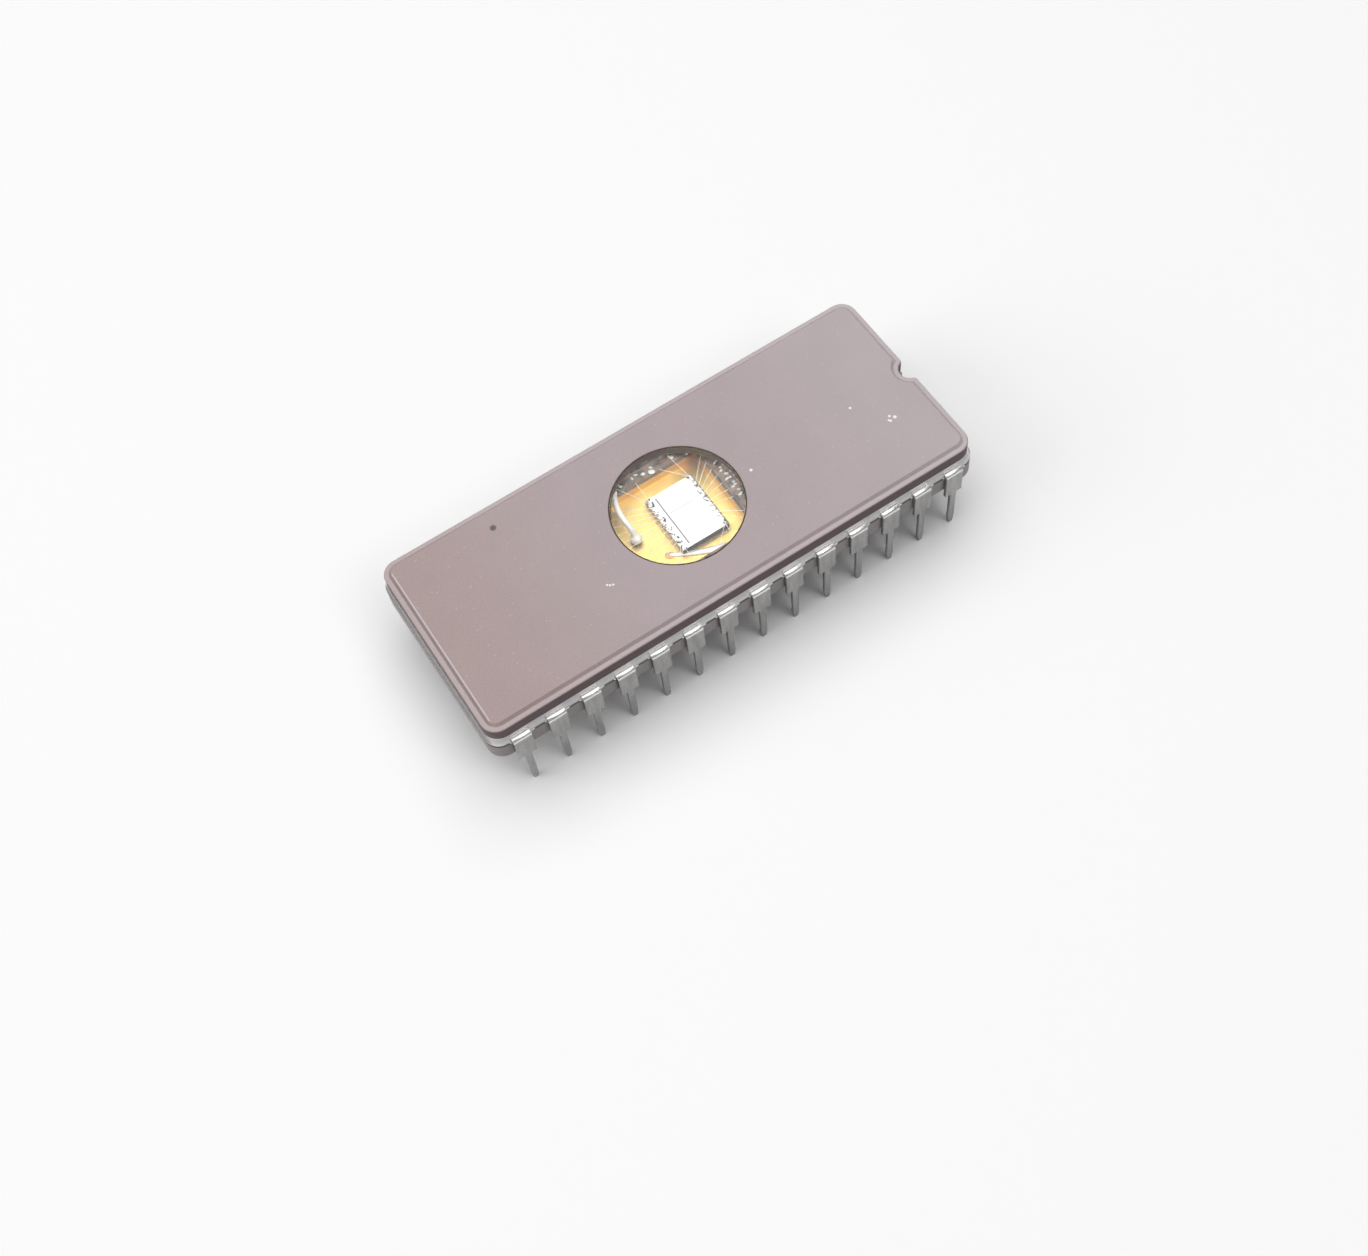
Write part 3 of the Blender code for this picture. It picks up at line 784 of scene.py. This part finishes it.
def tubes(name: str, routes: Sequence[Sequence[Vector]], radius: float, roundness: int = 3,
          taper: float = 1.0) -> BMesh:
    """Return a mesh of smooth round wires, one along each route.

    Args:
        name: a name for the curve that is made on the way.
        routes: the points of each wire.
        radius: the wires' radius at their start.
        roundness: how finely the wires are rounded.
        taper: how much of the radius is left at their end.

    Returns:
        The wires' mesh.
    """
    curve = bpy.data.curves.new(name, "CURVE")
    curve.dimensions = "3D"
    curve.bevel_depth = radius
    curve.bevel_resolution = roundness
    curve.use_fill_caps = True
    for route in routes:
        spline = curve.splines.new("POLY")
        spline.points.add(len(route) - 1)
        for index, (point, place) in enumerate(zip(spline.points, route)):
            point.co = (*place, 1.0)
            point.radius = 1.0 + (taper - 1.0) * index / (len(route) - 1)
    holder = put(name, curve)
    graph = bpy.context.evaluated_depsgraph_get()
    mesh = bpy.data.meshes.new_from_object(holder.evaluated_get(graph))
    bpy.data.objects.remove(holder, do_unlink=True)
    bm = bmesh.new()
    bm.from_mesh(mesh)
    bpy.data.meshes.remove(mesh)
    bmesh.ops.remove_doubles(bm, verts=bm.verts, dist=radius / 1000)
    return bm


def add_foot(bm: BMesh, place: Vector, size: Place, turn: float = 0.0) -> None:
    """Add the small flattened foot of a bond to a mesh of wires.

    Args:
        bm: the mesh to add to.
        place: the foot's middle.
        size: its length, width and height.
        turn: how far its length turns from X, in radians.
    """
    around, upwards = FOOT_FACETS
    made = bmesh.ops.create_uvsphere(bm, u_segments=around, v_segments=upwards, radius=0.5)
    matrix = (Matrix.Translation(place) @ Matrix.Rotation(turn, 4, "Z")
              @ Matrix.Diagonal((*size, 1.0)))
    bmesh.ops.transform(bm, matrix=matrix, verts=made["verts"])


@dataclass
class Ceramics:
    """The pressed lid and base."""

    edge_rounding: float = 0.00003
    chamfer_height: float = 0.0002
    marks: Tuple[Mark, ...] = (
        Mark(-0.00545, -0.0107, 0.00014, False),
        Mark(0.00040, 0.01331, 0.00006),
        Mark(0.00242, 0.01502, 0.00006),
        Mark(0.00268, 0.01527, 0.00008),
        Mark(0.00277, 0.01488, 0.00006),
        Mark(0.00266, 0.01480, 0.00005),
        Mark(0.00060, 0.00532, 0.00007),
        Mark(0.00242, -0.00686, 0.00005),
        Mark(0.00254, -0.00671, 0.00005),
        Mark(0.00262, -0.00652, 0.00005),
        Mark(0.00714, 0.00443, 0.00008, False),
    )

    def build(self) -> None:
        """Build and dress both ceramics."""
        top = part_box("ceramic_lid")[1].z
        lid_finish = CeramicFinish("lid alumina", land_height=top - self.chamfer_height,
                                   marks=self.marks, mark_height=top)
        base_finish = CeramicFinish("base alumina", colour=(0.58, 0.535, 0.54),
                                    warm=(0.57, 0.52, 0.52), cool=(0.60, 0.56, 0.57),
                                    seam_height=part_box("ceramic_base")[1].z)
        for node, name, finish in (("ceramic_lid", "lid_pressed", lid_finish),
                                   ("ceramic_base", "base_pressed", base_finish)):
            bm = merged_node(node)
            soften_edges(bm, self.edge_rounding)
            add_piece(name, bm, finish.build(), [node])


@dataclass
class Window:
    """The clear disc and the thin dark ring of glass that holds it in the lid."""

    steps: int = 128
    rounding: float = 0.00005
    ring_width: float = 0.00004
    ring_rise: float = 0.00002
    wall_sink: float = 0.00002

    def build(self) -> None:
        """Build and dress the window."""
        low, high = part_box("window_lens")
        radius = (high.x - low.x) / 2
        height = high.z - low.z
        edge = self.rounding
        profile = [(0.0, 0.0), (radius - edge, 0.0), (radius, edge), (radius, height - edge),
                   (radius - edge, height), (0.0, height)]
        lens = turned(profile, self.steps, (0.0, 0.0, low.z))
        add_piece("window_glass", lens, ClearFinish().build(), ["window_lens"])
        lid_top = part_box("ceramic_lid")[1].z
        inner = radius - self.ring_width
        outer = radius + self.ring_width
        sunk = radius - self.wall_sink
        foot = low.z - self.rounding
        ring = [(sunk, foot), (sunk, high.z - self.rounding), (inner, high.z - self.wall_sink),
                (inner + self.wall_sink, high.z + self.ring_rise / 2),
                (radius, high.z + self.ring_rise), (outer, lid_top - self.ring_rise / 4),
                (radius, lid_top - self.ring_width), (radius, foot), (sunk, foot)]
        # The ring's dark brown is partly its own dark glass and partly painted shade where the
        # hole's side lies under the lens.
        finish = FritFinish("window seal glass", inner=(0.11, 0.072, 0.042),
                            inner_shade=(0.06, 0.042, 0.028), roughness=0.6, index=1.5)
        add_piece("window_seal_ring", turned(ring, self.steps), finish.build())


@dataclass
class SealGlass:
    """The fused glass between the ceramics, its webs beside the leads and its ledge inside."""

    web_reach: float = 0.00036
    small_web_share: float = 0.4
    web_steps: int = 6
    web_thickness: float = 0.00009
    web_sink: float = 0.00002
    lead_half_width: float = 0.00065
    leads: int = LEADS
    ledge_profile: Tuple[Tuple[float, float], ...] = (
        (0.00003, 0.00600), (0.00006, 0.00606), (0.00014, 0.006075), (0.00022, 0.00608),
        (0.00032, 0.00609), (0.00046, 0.00610), (0.00060, 0.006125), (0.00072, 0.00618),
        (0.00082, 0.00626), (0.00088, 0.00635), (0.00097, 0.00638), (0.00097, 0.00600),
    )
    ledge_corner: float = 0.0003
    corner_segments: int = 6
    ledge_facet: float = 0.00008
    wave: float = 0.000045
    wave_length: float = 0.00042

    def add_web(self, bm: BMesh, corner: Vector, along: int, reach: float) -> None:
        """Add one web: a plate with a hollow edge in the corner between lead and base.

        Args:
            bm: the mesh to add to.
            corner: the corner that the web fills.
            along: which way it spreads from the lead, 1 towards +Y or -1.
            reach: how far it spreads along and down.
        """
        points = [corner]
        for step in range(self.web_steps + 1):
            turn = math.pi / 2 * step / self.web_steps
            points.append(corner + Vector((0.0, along * reach * (1 - math.sin(turn)),
                                           -reach * (1 - math.cos(turn)))))
        face = bm.faces.new([bm.verts.new(point) for point in points])
        made = bmesh.ops.extrude_face_region(bm, geom=[face])
        moved = [item for item in made["geom"] if isinstance(item, bmesh.types.BMVert)]
        outward = math.copysign(self.web_thickness, corner.x)
        bmesh.ops.translate(bm, verts=moved, vec=(outward, 0.0, 0.0))

    def build_webs(self, finish: Material) -> None:
        """Build the webs of both rows of leads."""
        base_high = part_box("ceramic_base")[1]
        bm = bmesh.new()
        for number in range(1, self.leads + 1):
            pin = [v.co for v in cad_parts[f"lead_{number:02d}"].data.vertices
                   if v.co.z < MERGE_DISTANCE]
            middle = sum(pin, Vector()) / len(pin)
            face_x = math.copysign(base_high.x - self.web_sink, middle.x)
            for along, share in ((1, 1.0), (-1, self.small_web_share)):
                corner = Vector((face_x, middle.y + along * self.lead_half_width, base_high.z))
                self.add_web(bm, corner, along, self.web_reach * share)
        bmesh.ops.recalc_face_normals(bm, faces=bm.faces)
        add_piece("seal_glass_webs", bm, finish)

    def build_ledge(self, finish: Material) -> None:
        """Build the glass round the cavity: it laps the finger tips and climbs to the lid."""
        low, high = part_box("gold_lining")
        bm = bmesh.new()
        bmesh.ops.create_grid(bm, x_segments=1, y_segments=1, size=0.5)
        bmesh.ops.scale(bm, verts=bm.verts, vec=high - low)
        bmesh.ops.bevel(bm, geom=bm.verts[:], offset=self.ledge_corner,
                        segments=self.corner_segments, profile=0.5, affect="VERTICES",
                        material=-1)
        bmesh.ops.delete(bm, geom=bm.faces[:], context="FACES_ONLY")
        for edge in bm.edges[:]:
            cuts = int(edge.calc_length() / self.ledge_facet)
            if cuts:
                bmesh.ops.subdivide_edges(bm, edges=[edge], cuts=cuts)
        bmesh.ops.translate(bm, verts=bm.verts, vec=(low + high) / 2)
        loop = bm.edges[:]
        self.place_ring(bm.verts[:], 0)
        for step in range(1, len(self.ledge_profile)):
            made = bmesh.ops.extrude_edge_only(bm, edges=loop)["geom"]
            loop = [item for item in made if isinstance(item, bmesh.types.BMEdge)]
            self.place_ring([item for item in made if isinstance(item, bmesh.types.BMVert)], step)
        loops = [edge for edge in bm.edges if edge.is_boundary]
        bmesh.ops.bridge_loops(bm, edges=loops)
        bmesh.ops.recalc_face_normals(bm, faces=bm.faces)
        add_piece("seal_glass_ledge", bm, finish)

    def place_ring(self, ring: List[bmesh.types.BMVert], step: int) -> None:
        """Move one ring of the ledge out from the cavity to its place in the profile.

        Args:
            ring: its vertices, anywhere straight out from the cavity's outline.
            step: which point of the profile the ring takes.
        """
        reach, height = self.ledge_profile[step]
        low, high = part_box("gold_lining")
        corner = self.ledge_corner
        for vert in ring:
            inner = Vector((max(low.x + corner, min(high.x - corner, vert.co.x)),
                            max(low.y + corner, min(high.y - corner, vert.co.y))))
            point = inner + (vert.co.xy - inner).normalized() * (corner + reach)
            if 0 < step < len(self.ledge_profile) - 1:
                ripple = noise.noise(point.to_3d() / self.wave_length)
            else:
                ripple = 0.0
            vert.co = (*point, height + self.wave * ripple)

    def build(self) -> None:
        """Build and dress the glass."""
        finish = FritFinish().build()
        add_piece("seal_glass_fused", merged_node("seal_glass"), finish,
                  ["seal_glass"])
        self.build_webs(finish)
        # The ledge lies wholly within the reach of the dark inner colours, a painted shade.
        self.build_ledge(FritFinish("cavity seal glass", index=1.5).build())


@dataclass
class LeadFrame:
    """The 28 stamped leads, with the burr of their edges rounded off."""

    count: int = LEADS
    edge_rounding: float = 0.000025
    sharp_edge: float = 40.0

    def build(self) -> None:
        """Build and dress the leads."""
        finish = TinFinish().build()
        for number in range(1, self.count + 1):
            node = f"lead_{number:02d}"
            bm = merged_node(node)
            soften_edges(bm, self.edge_rounding, self.sharp_edge)
            add_piece(f"{node}_plated", bm, finish, [node])


def finger_tip(node: str) -> Tuple[Vector, Vector]:
    """Return the middle of a lead's finger tip, on its upper face, and the way out from it."""
    points = [v.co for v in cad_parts[node].data.vertices]
    top = max(point.z for point in points)
    low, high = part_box("gold_lining")
    middle = (low + high) / 2
    level = sorted({tuple(round(c, 7) for c in point) for point in points
                    if point.z > top - LINE_BLUR},
                   key=lambda point: math.dist(point[:2], middle.xy))
    first, second = Vector(level[0]), Vector(level[1])
    tip = (first + second) / 2
    across = (first - second).normalized()
    out = Vector((-across.y, across.x, 0.0))
    if out.dot(tip - middle) < 0:
        out.negate()
    return tip, out


@dataclass
class Die:
    """The memory die and its pads, placed on the preform it is bonded with."""

    edge: float = 0.000012
    pad_size: float = 0.00011
    pad_inset: float = 0.00018
    pad_rise: float = 0.000004
    pads_per_end: int = 14
    margin: float = 0.00014
    seat_gap: float = 0.00002
    thickness: float = 0.0005
    low: Vector = field(init=False)
    high: Vector = field(init=False)

    def __post_init__(self) -> None:
        """Take the die's place from the preform's node, which lies under it on all sides."""
        low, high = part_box("die_attach")
        bottom = high.z + self.seat_gap
        self.low = Vector((low.x + self.margin, low.y + self.margin, bottom))
        self.high = Vector((high.x - self.margin, high.y - self.margin,
                            bottom + self.thickness))

    def pads(self, end: int) -> List[Vector]:
        """Return the pads' middles along one end of the die, from -X to +X."""
        width = self.high.x - self.low.x - 2 * self.pad_inset
        y = self.high.y - self.pad_inset if end > 0 else self.low.y + self.pad_inset
        return [Vector((self.low.x + self.pad_inset + width * step / (self.pads_per_end - 1),
                        y, self.high.z)) for step in range(self.pads_per_end)]

    def build(self) -> None:
        """Build and dress the die."""
        slab = block(self.low, self.high)
        round_edges(slab, slab.edges[:], self.edge)
        centre = (self.low + self.high) / 2
        half = (self.high - self.low) / 2
        finish = SiliconFinish((centre.x, centre.y), (half.x, half.y),
                               side_height=self.high.z)
        add_piece("die_slab", slab, finish.build(), ["memory_die"])
        pads = bmesh.new()
        for place in self.pads(1) + self.pads(-1):
            made = bmesh.ops.create_cube(pads, size=1.0)
            matrix = (Matrix.Translation(place)
                      @ Matrix.Diagonal((self.pad_size, self.pad_size, 2 * self.pad_rise, 1.0)))
            bmesh.ops.transform(pads, matrix=matrix, verts=made["verts"])
        metal = MetalFinish("pad aluminium", (0.91, 0.91, 0.90), (0.75, 0.75, 0.76), 0.2)
        add_piece("die_pads", pads, metal.build())


@dataclass
class Preform:
    """The die bond: a thin plate of gold and silicon, with the ridge where some has run out, made
    near white as a painted highlight.
    """

    seed: int = 7
    spread: Tuple[float, float] = (-0.01, 0.03)
    corner: float = 0.0003
    corner_segments: int = 6
    edge_cuts: int = 18
    ridge: Tuple[Tuple[float, float], ...] = (
        (0.00326, 0.00154), (0.00302, 0.00084), (0.00262, -0.00014), (0.00212, -0.00112),
        (0.00170, -0.00180),
    )
    ridge_radius: float = 0.0003
    ridge_taper: float = 0.5
    ridge_flatness: float = 0.45
    ridge_steps: int = 8
    ridge_roundness: int = 5
    puddle: Tuple[float, float] = (0.00172, -0.00186)
    puddle_size: Place = (0.00075, 0.00052, 0.00006)
    puddle_turn: float = math.radians(60)

    def ridge_route(self, height: float) -> List[Vector]:
        """Return a smooth route through the ridge's points, at one height."""
        places = [Vector((x, y, height)) for x, y in self.ridge]
        route = []
        for index in range(len(places) - 1):
            before = places[max(index - 1, 0)]
            start = places[index]
            end = places[index + 1]
            after = places[min(index + 2, len(places) - 1)]
            handle = start + (end - before) / 6
            other = end - (after - start) / 6
            stretch = interpolate_bezier(start, handle, other, end, self.ridge_steps)
            route += stretch if not route else stretch[1:]
        return route

    def build(self) -> None:
        """Build and dress the preform."""
        draw = random.Random(self.seed)
        low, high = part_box("die_attach")
        centre = (low + high) / 2
        plate = block(low, high)
        round_edges(plate, upright_edges(plate), self.corner, self.corner_segments)
        long_edges = [edge for edge in plate.edges if edge.calc_length() > 3 * self.corner]
        bmesh.ops.subdivide_edges(plate, edges=long_edges, cuts=self.edge_cuts)
        for vert in plate.verts:
            push = 1.0 + draw.uniform(*self.spread)
            vert.co.x = centre.x + (vert.co.x - centre.x) * push
            vert.co.y = centre.y + (vert.co.y - centre.y) * push
        metal = MetalFinish("gold silicon preform", (0.85, 0.64, 0.34), (0.50, 0.34, 0.16), 0.35,
                            0.0002).build()
        add_piece("preform_plate", plate, metal, ["die_attach"])
        floor = low.z
        route = self.ridge_route(floor)
        flow = tubes("ridge", [route], self.ridge_radius, self.ridge_roundness, self.ridge_taper)
        for place, share in ((route[0], 1.0), (route[-1], self.ridge_taper)):
            add_foot(flow, place, (2 * self.ridge_radius * share,) * 3)
        for vert in flow.verts:
            vert.co.z = floor + (vert.co.z - floor) * self.ridge_flatness
        # The ridge is made near white, a painted highlight along it.
        pale = MetalFinish("preform ridge highlight", (1.0, 0.99, 0.95), (0.98, 0.96, 0.90), 0.4,
                           0.0004, 0.5).build()
        add_piece("preform_ridge", flow, pale)
        puddle = bmesh.new()
        add_foot(puddle, Vector((*self.puddle, floor)), self.puddle_size, self.puddle_turn)
        brown = MetalFinish("brown preform", (0.62, 0.36, 0.13), (0.40, 0.22, 0.08), 0.35,
                            0.0003).build()
        add_piece("preform_puddle", puddle, brown)


@dataclass(frozen=True)
class GlintBead:
    """A white blob on a finger tip, partly bond metal and partly a painted glint: its place, and
    its width and length.
    """

    x: float
    y: float
    width: float
    length: float


@dataclass
class Wires:
    """The thin bond wires, white blobs on the finger tips as painted glints, and the thick ground
    wire with its lump, on a dark disc that is a painted shadow.
    """

    die: Die
    radius: float = 0.00002
    rise: float = 0.00016
    low_wires: Sequence[int] = range(10, 15)
    low_steepness: float = 0.4
    steps: int = 14
    setback: float = 0.00016
    # White blobs on the finger tips, placed as painted glints.
    glint_beads: Tuple[GlintBead, ...] = (
        GlintBead(-0.00388, 0.00194, 0.00032, 0.00030), GlintBead(-0.00371, 0.00025, 0.00050, 0.00036),
        GlintBead(-0.00389, -0.00031, 0.00032, 0.00026), GlintBead(-0.00410, -0.00076, 0.00030, 0.00014),
        GlintBead(-0.00392, -0.00204, 0.00026, 0.00018), GlintBead(-0.00352, 0.00289, 0.00020, 0.00014),
        GlintBead(-0.00135, 0.00414, 0.00022, 0.00016), GlintBead(-0.00070, 0.00421, 0.00034, 0.00018),
        GlintBead(-0.00033, 0.00428, 0.00026, 0.00016), GlintBead(0.00008, 0.00424, 0.00022, 0.00014),
        GlintBead(0.00031, 0.00426, 0.00034, 0.00014), GlintBead(0.00077, 0.00422, 0.00030, 0.00014),
        GlintBead(0.00108, 0.00420, 0.00020, 0.00016),
    )
    glint_height: float = 0.00615
    glint_depth: float = 0.00012
    glint_turn: float = math.radians(60)
    unconnected: int = 26
    ground_lead: int = 9
    ground_clearance: float = 0.00012
    ground_landing: Place = (-0.00018, -0.00018, 0.00018)
    ground_radius: float = 0.0002
    ground_bow: float = 0.0003
    ground_foot: Place = (0.00056, 0.00050, 0.00036)
    ground_exit: Place = (-0.0001, 0.0, 0.0002)
    ground_steps: int = 28
    ground_rise: float = 0.0001
    ground_steepness: float = 9.0
    lump_radius: float = 0.00043
    lump_inset: float = 0.00004
    lump_y: float = -0.00313
    lump_flatness: float = 0.75
    lump_facets: Tuple[int, int] = (32, 20)
    lump_shadow: Place = (0.00078, 0.00078, 0.0004)
    foot_share: Place = (8.0, 5.0, 2.4)
    tip_foot_share: Place = (14.0, 8.0, 3.0)

    def route(self, start: Vector, end: Vector, rise: float, steepness: float,
              steps: int) -> List[Vector]:
        """Return the points of a loop that leaves its start steeply and lands flat.

        Args:
            start: where it starts, on the die or the lump.
            end: where it lands, on a finger.
            rise: how far it arches above the straight line.
            steepness: how soon it climbs; 1 is even.
            steps: how many pieces it has.

        Returns:
            The loop's points.
        """
        points = []
        for step in range(steps + 1):
            share = step / steps
            climb = (end.z - start.z) * (1 - (1 - share) ** steepness)
            arch = rise * math.sin(math.pi * share) * (1 - share)
            point = start.lerp(end, share)
            points.append(Vector((point.x, point.y, start.z + climb + arch)))
        return points

    def build_thin(self, metal: Material) -> None:
        """Build the 27 thin wires."""
        # the leads in the order of the pads at each end of the die, from -X to +X
        orders = {1: [*range(7, 0, -1), *range(28, 21, -1)], -1: [*range(8, 22)]}
        routes = []
        feet = []
        for end, numbers in orders.items():
            for number, pad in zip(numbers, self.die.pads(end)):
                if number == self.unconnected:
                    continue
                tip, out = finger_tip(f"lead_{number:02d}")
                landing = tip + out * self.setback + Vector((0.0, 0.0, self.radius))
                if number == self.ground_lead:
                    landing.y += self.ground_clearance
                pad.z += self.radius
                steepness = self.low_steepness if number in self.low_wires else 1.0
                routes.append(self.route(pad, landing, self.rise, steepness, self.steps))
                run = landing - pad
                turn = math.atan2(run.y, run.x)
                feet += [(pad, turn, self.foot_share), (landing, turn, self.tip_foot_share)]
        bm = tubes("thin wires", routes, self.radius, 2)
        for place, turn, share in feet:
            add_foot(bm, place, tuple(self.radius * part for part in share), turn)
        add_piece("bond_wires", bm, metal)

    def build_glints(self, metal: Material) -> None:
        """Build the white blobs on the finger tips: bond metal, placed and whitened as painted
        glints.
        """
        bm = bmesh.new()
        for glint_bead in self.glint_beads:
            place = Vector((glint_bead.x, glint_bead.y, self.glint_height))
            add_foot(bm, place, (glint_bead.width, glint_bead.length, self.glint_depth), self.glint_turn)
        add_piece("tip_metal_glints", bm, metal)

    def build_ground(self, metal: Material) -> None:
        """Build the ground wire."""
        low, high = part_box("ground_wire")
        radius = self.lump_radius
        centre = Vector((high.x - radius - self.lump_inset, self.lump_y, low.z + radius))
        tip, out = finger_tip(f"lead_{self.ground_lead:02d}")
        setback, aside, lift = self.ground_landing
        landing = tip + out * setback + Vector((0.0, aside, lift))
        start = centre + Vector(self.ground_exit)
        route = self.route(start, landing, self.ground_rise, self.ground_steepness,
                           self.ground_steps)
        for index, point in enumerate(route):
            point.y -= self.ground_bow * math.sin(math.pi * index / self.ground_steps)
        bm = tubes("thick wire", [route], self.ground_radius, 4)
        around, upwards = self.lump_facets
        made = bmesh.ops.create_uvsphere(bm, u_segments=around, v_segments=upwards, radius=radius)
        bmesh.ops.scale(bm, verts=made["verts"], vec=(1.0, 1.0, self.lump_flatness))
        bmesh.ops.translate(bm, verts=made["verts"], vec=centre)
        add_foot(bm, landing, self.ground_foot, math.atan2(out.y, out.x))
        add_piece("ground_wire_bond", bm, metal, ["ground_wire"])
        # Painted shadow: a dark brown disc under the lump.
        foot = bmesh.new()
        add_foot(foot, Vector((centre.x, centre.y, low.z + self.lump_shadow[2] / 2)),
                 self.lump_shadow)
        brown = MetalFinish("ground lump shadow", (0.12, 0.08, 0.04), (0.06, 0.04, 0.03), 0.5)
        add_piece("ground_lump_shadow", foot, brown.build())

    def build(self) -> None:
        """Build and dress the wires."""
        metal = MetalFinish("aluminium wire", (1.0, 1.0, 0.98), (0.97, 0.97, 0.95), 0.4,
                            metallic=0.2)
        finish = metal.build()
        self.build_thin(finish)
        self.build_glints(finish)
        self.build_ground(finish)


@dataclass(frozen=True)
class Lamp:
    """A square soft lamp: its direction from the part, its side, and its level, 1 for white."""

    way: Place
    size: float
    level: float


@dataclass
class Studio:
    """The camera, the pale floor and the soft light."""

    azimuth: float = 65.228
    elevation: float = 62.145
    roll: float = -9.196
    distance: float = 0.11186
    target: Place = (0.007797, -0.004538, 0.0076)
    lens: float = 47.368
    sensor: float = 36.0
    view_depths: Tuple[float, float] = (0.005, 10.0)
    floor_size: float = 3.0
    floor_colour: Colour = (0.97, 0.97, 0.97)
    floor_bounce: Colour = (0.17, 0.165, 0.16)
    floor_reach: float = 0.12
    floor_blur: float = 0.25
    lamp_distance: float = 0.6
    key: Lamp = Lamp((-0.20, 0.06, 1.0), 0.75, 1.88)
    side: Lamp = Lamp((0.54, 0.20, 0.82), 0.26, 2.9)
    end: Lamp = Lamp((-0.25, -0.80, 0.55), 0.42, 1.9)
    world_level: float = 0.14

    def eye_axes(self) -> Tuple[Vector, Vector, Vector]:
        """Return the camera's right, up and back directions."""
        azimuth, elevation, roll = map(math.radians, (self.azimuth, self.elevation, self.roll))
        back = Vector((math.sin(azimuth) * math.cos(elevation),
                       -math.cos(azimuth) * math.cos(elevation), math.sin(elevation)))
        level = Vector((0.0, 0.0, 1.0)).cross(back).normalized()
        upright = back.cross(level)
        right = math.cos(roll) * level + math.sin(roll) * upright
        up = math.cos(roll) * upright - math.sin(roll) * level
        return right, up, back

    def build_camera(self) -> None:
        """Set the camera up where the photograph was taken from."""
        right, up, back = self.eye_axes()
        data = bpy.data.cameras.new("camera")
        data.sensor_fit = "HORIZONTAL"
        data.sensor_width = self.sensor
        data.lens = self.lens
        data.clip_start, data.clip_end = self.view_depths
        camera = put("camera", data)
        turn = Matrix((right, up, back)).transposed().to_4x4()
        camera.matrix_world = Matrix.Translation(Vector(self.target)
                                                 + back * self.distance) @ turn
        bpy.context.scene.camera = camera

    def build_floor(self) -> None:
        """Build the floor: pale to the eye and in reflections, quieter as a bounce of light."""
        bm = bmesh.new()
        bmesh.ops.create_grid(bm, x_segments=1, y_segments=1, size=self.floor_size)
        sheet = NodeSheet("pale floor")
        path = sheet.tree.nodes.new("ShaderNodeLightPath").outputs
        seen = sheet.sum(Step.MOST, path["Is Camera Ray"], path["Is Glossy Ray"])
        seen = sheet.sum(Step.MOST, seen, path["Is Transmission Ray"])
        near = sheet.near((0.0, 0.0, 0.0), self.floor_reach, self.floor_blur)
        far = sheet.times(sheet.rest(near), path["Is Camera Ray"])
        tone = sheet.mix(seen, self.floor_bounce, self.floor_colour)
        sheet.colour(sheet.mix(far, tone, (0.0, 0.0, 0.0)))
        sheet.set(Roughness=0.9, Emission_Color=(*self.floor_colour, 1.0))
        sheet.feed(sheet.shader.inputs["Emission Strength"], far)
        put("floor", mesh_of("floor", bm, sheet.material))

    def hang(self, name: str, lamp: Lamp) -> None:
        """Hang a lamp so that it faces the part."""
        way = Vector(lamp.way)
        data = bpy.data.lights.new(name, "AREA")
        data.shape = "SQUARE"
        data.size = lamp.size
        data.energy = lamp.level * math.pi * lamp.size ** 2
        holder = put(name, data)
        holder.location = way.normalized() * self.lamp_distance
        holder.rotation_euler = way.to_track_quat("Z", "Y").to_euler()

    def build_light(self) -> None:
        """Set up the lamps and the world."""
        for name, lamp in (("key", self.key), ("side", self.side), ("end", self.end)):
            self.hang(name, lamp)
        world = bpy.data.worlds.new("studio")
        world.use_nodes = True
        tree = world.node_tree
        tree.nodes.clear()
        dim = tree.nodes.new("ShaderNodeBackground")
        dim.inputs["Strength"].default_value = self.world_level
        seen = tree.nodes.new("ShaderNodeBackground")
        seen.inputs["Color"].default_value = (*self.floor_colour, 1.0)
        output = tree.nodes.new("ShaderNodeOutputWorld")
        mixed = by_ray(tree, "Is Camera Ray", dim.outputs[0], seen.outputs[0])
        tree.links.new(mixed, output.inputs["Surface"])
        bpy.context.scene.world = world

    def build(self) -> None:
        """Set up the whole studio."""
        self.build_camera()
        self.build_floor()
        self.build_light()
        bpy.context.scene.view_settings.view_transform = "Standard"


def main() -> None:
    """Build every sub-assembly in order."""
    logging.basicConfig(level=logging.INFO, format="%(message)s")
    Studio().build()
    Ceramics().build()
    Window().build()
    SealGlass().build()
    LeadFrame().build()
    dress_node("gold_lining", GoldFinish().build())
    Preform().build()
    die = Die()
    die.build()
    Wires(die).build()


if __name__ == "__main__":
    main()
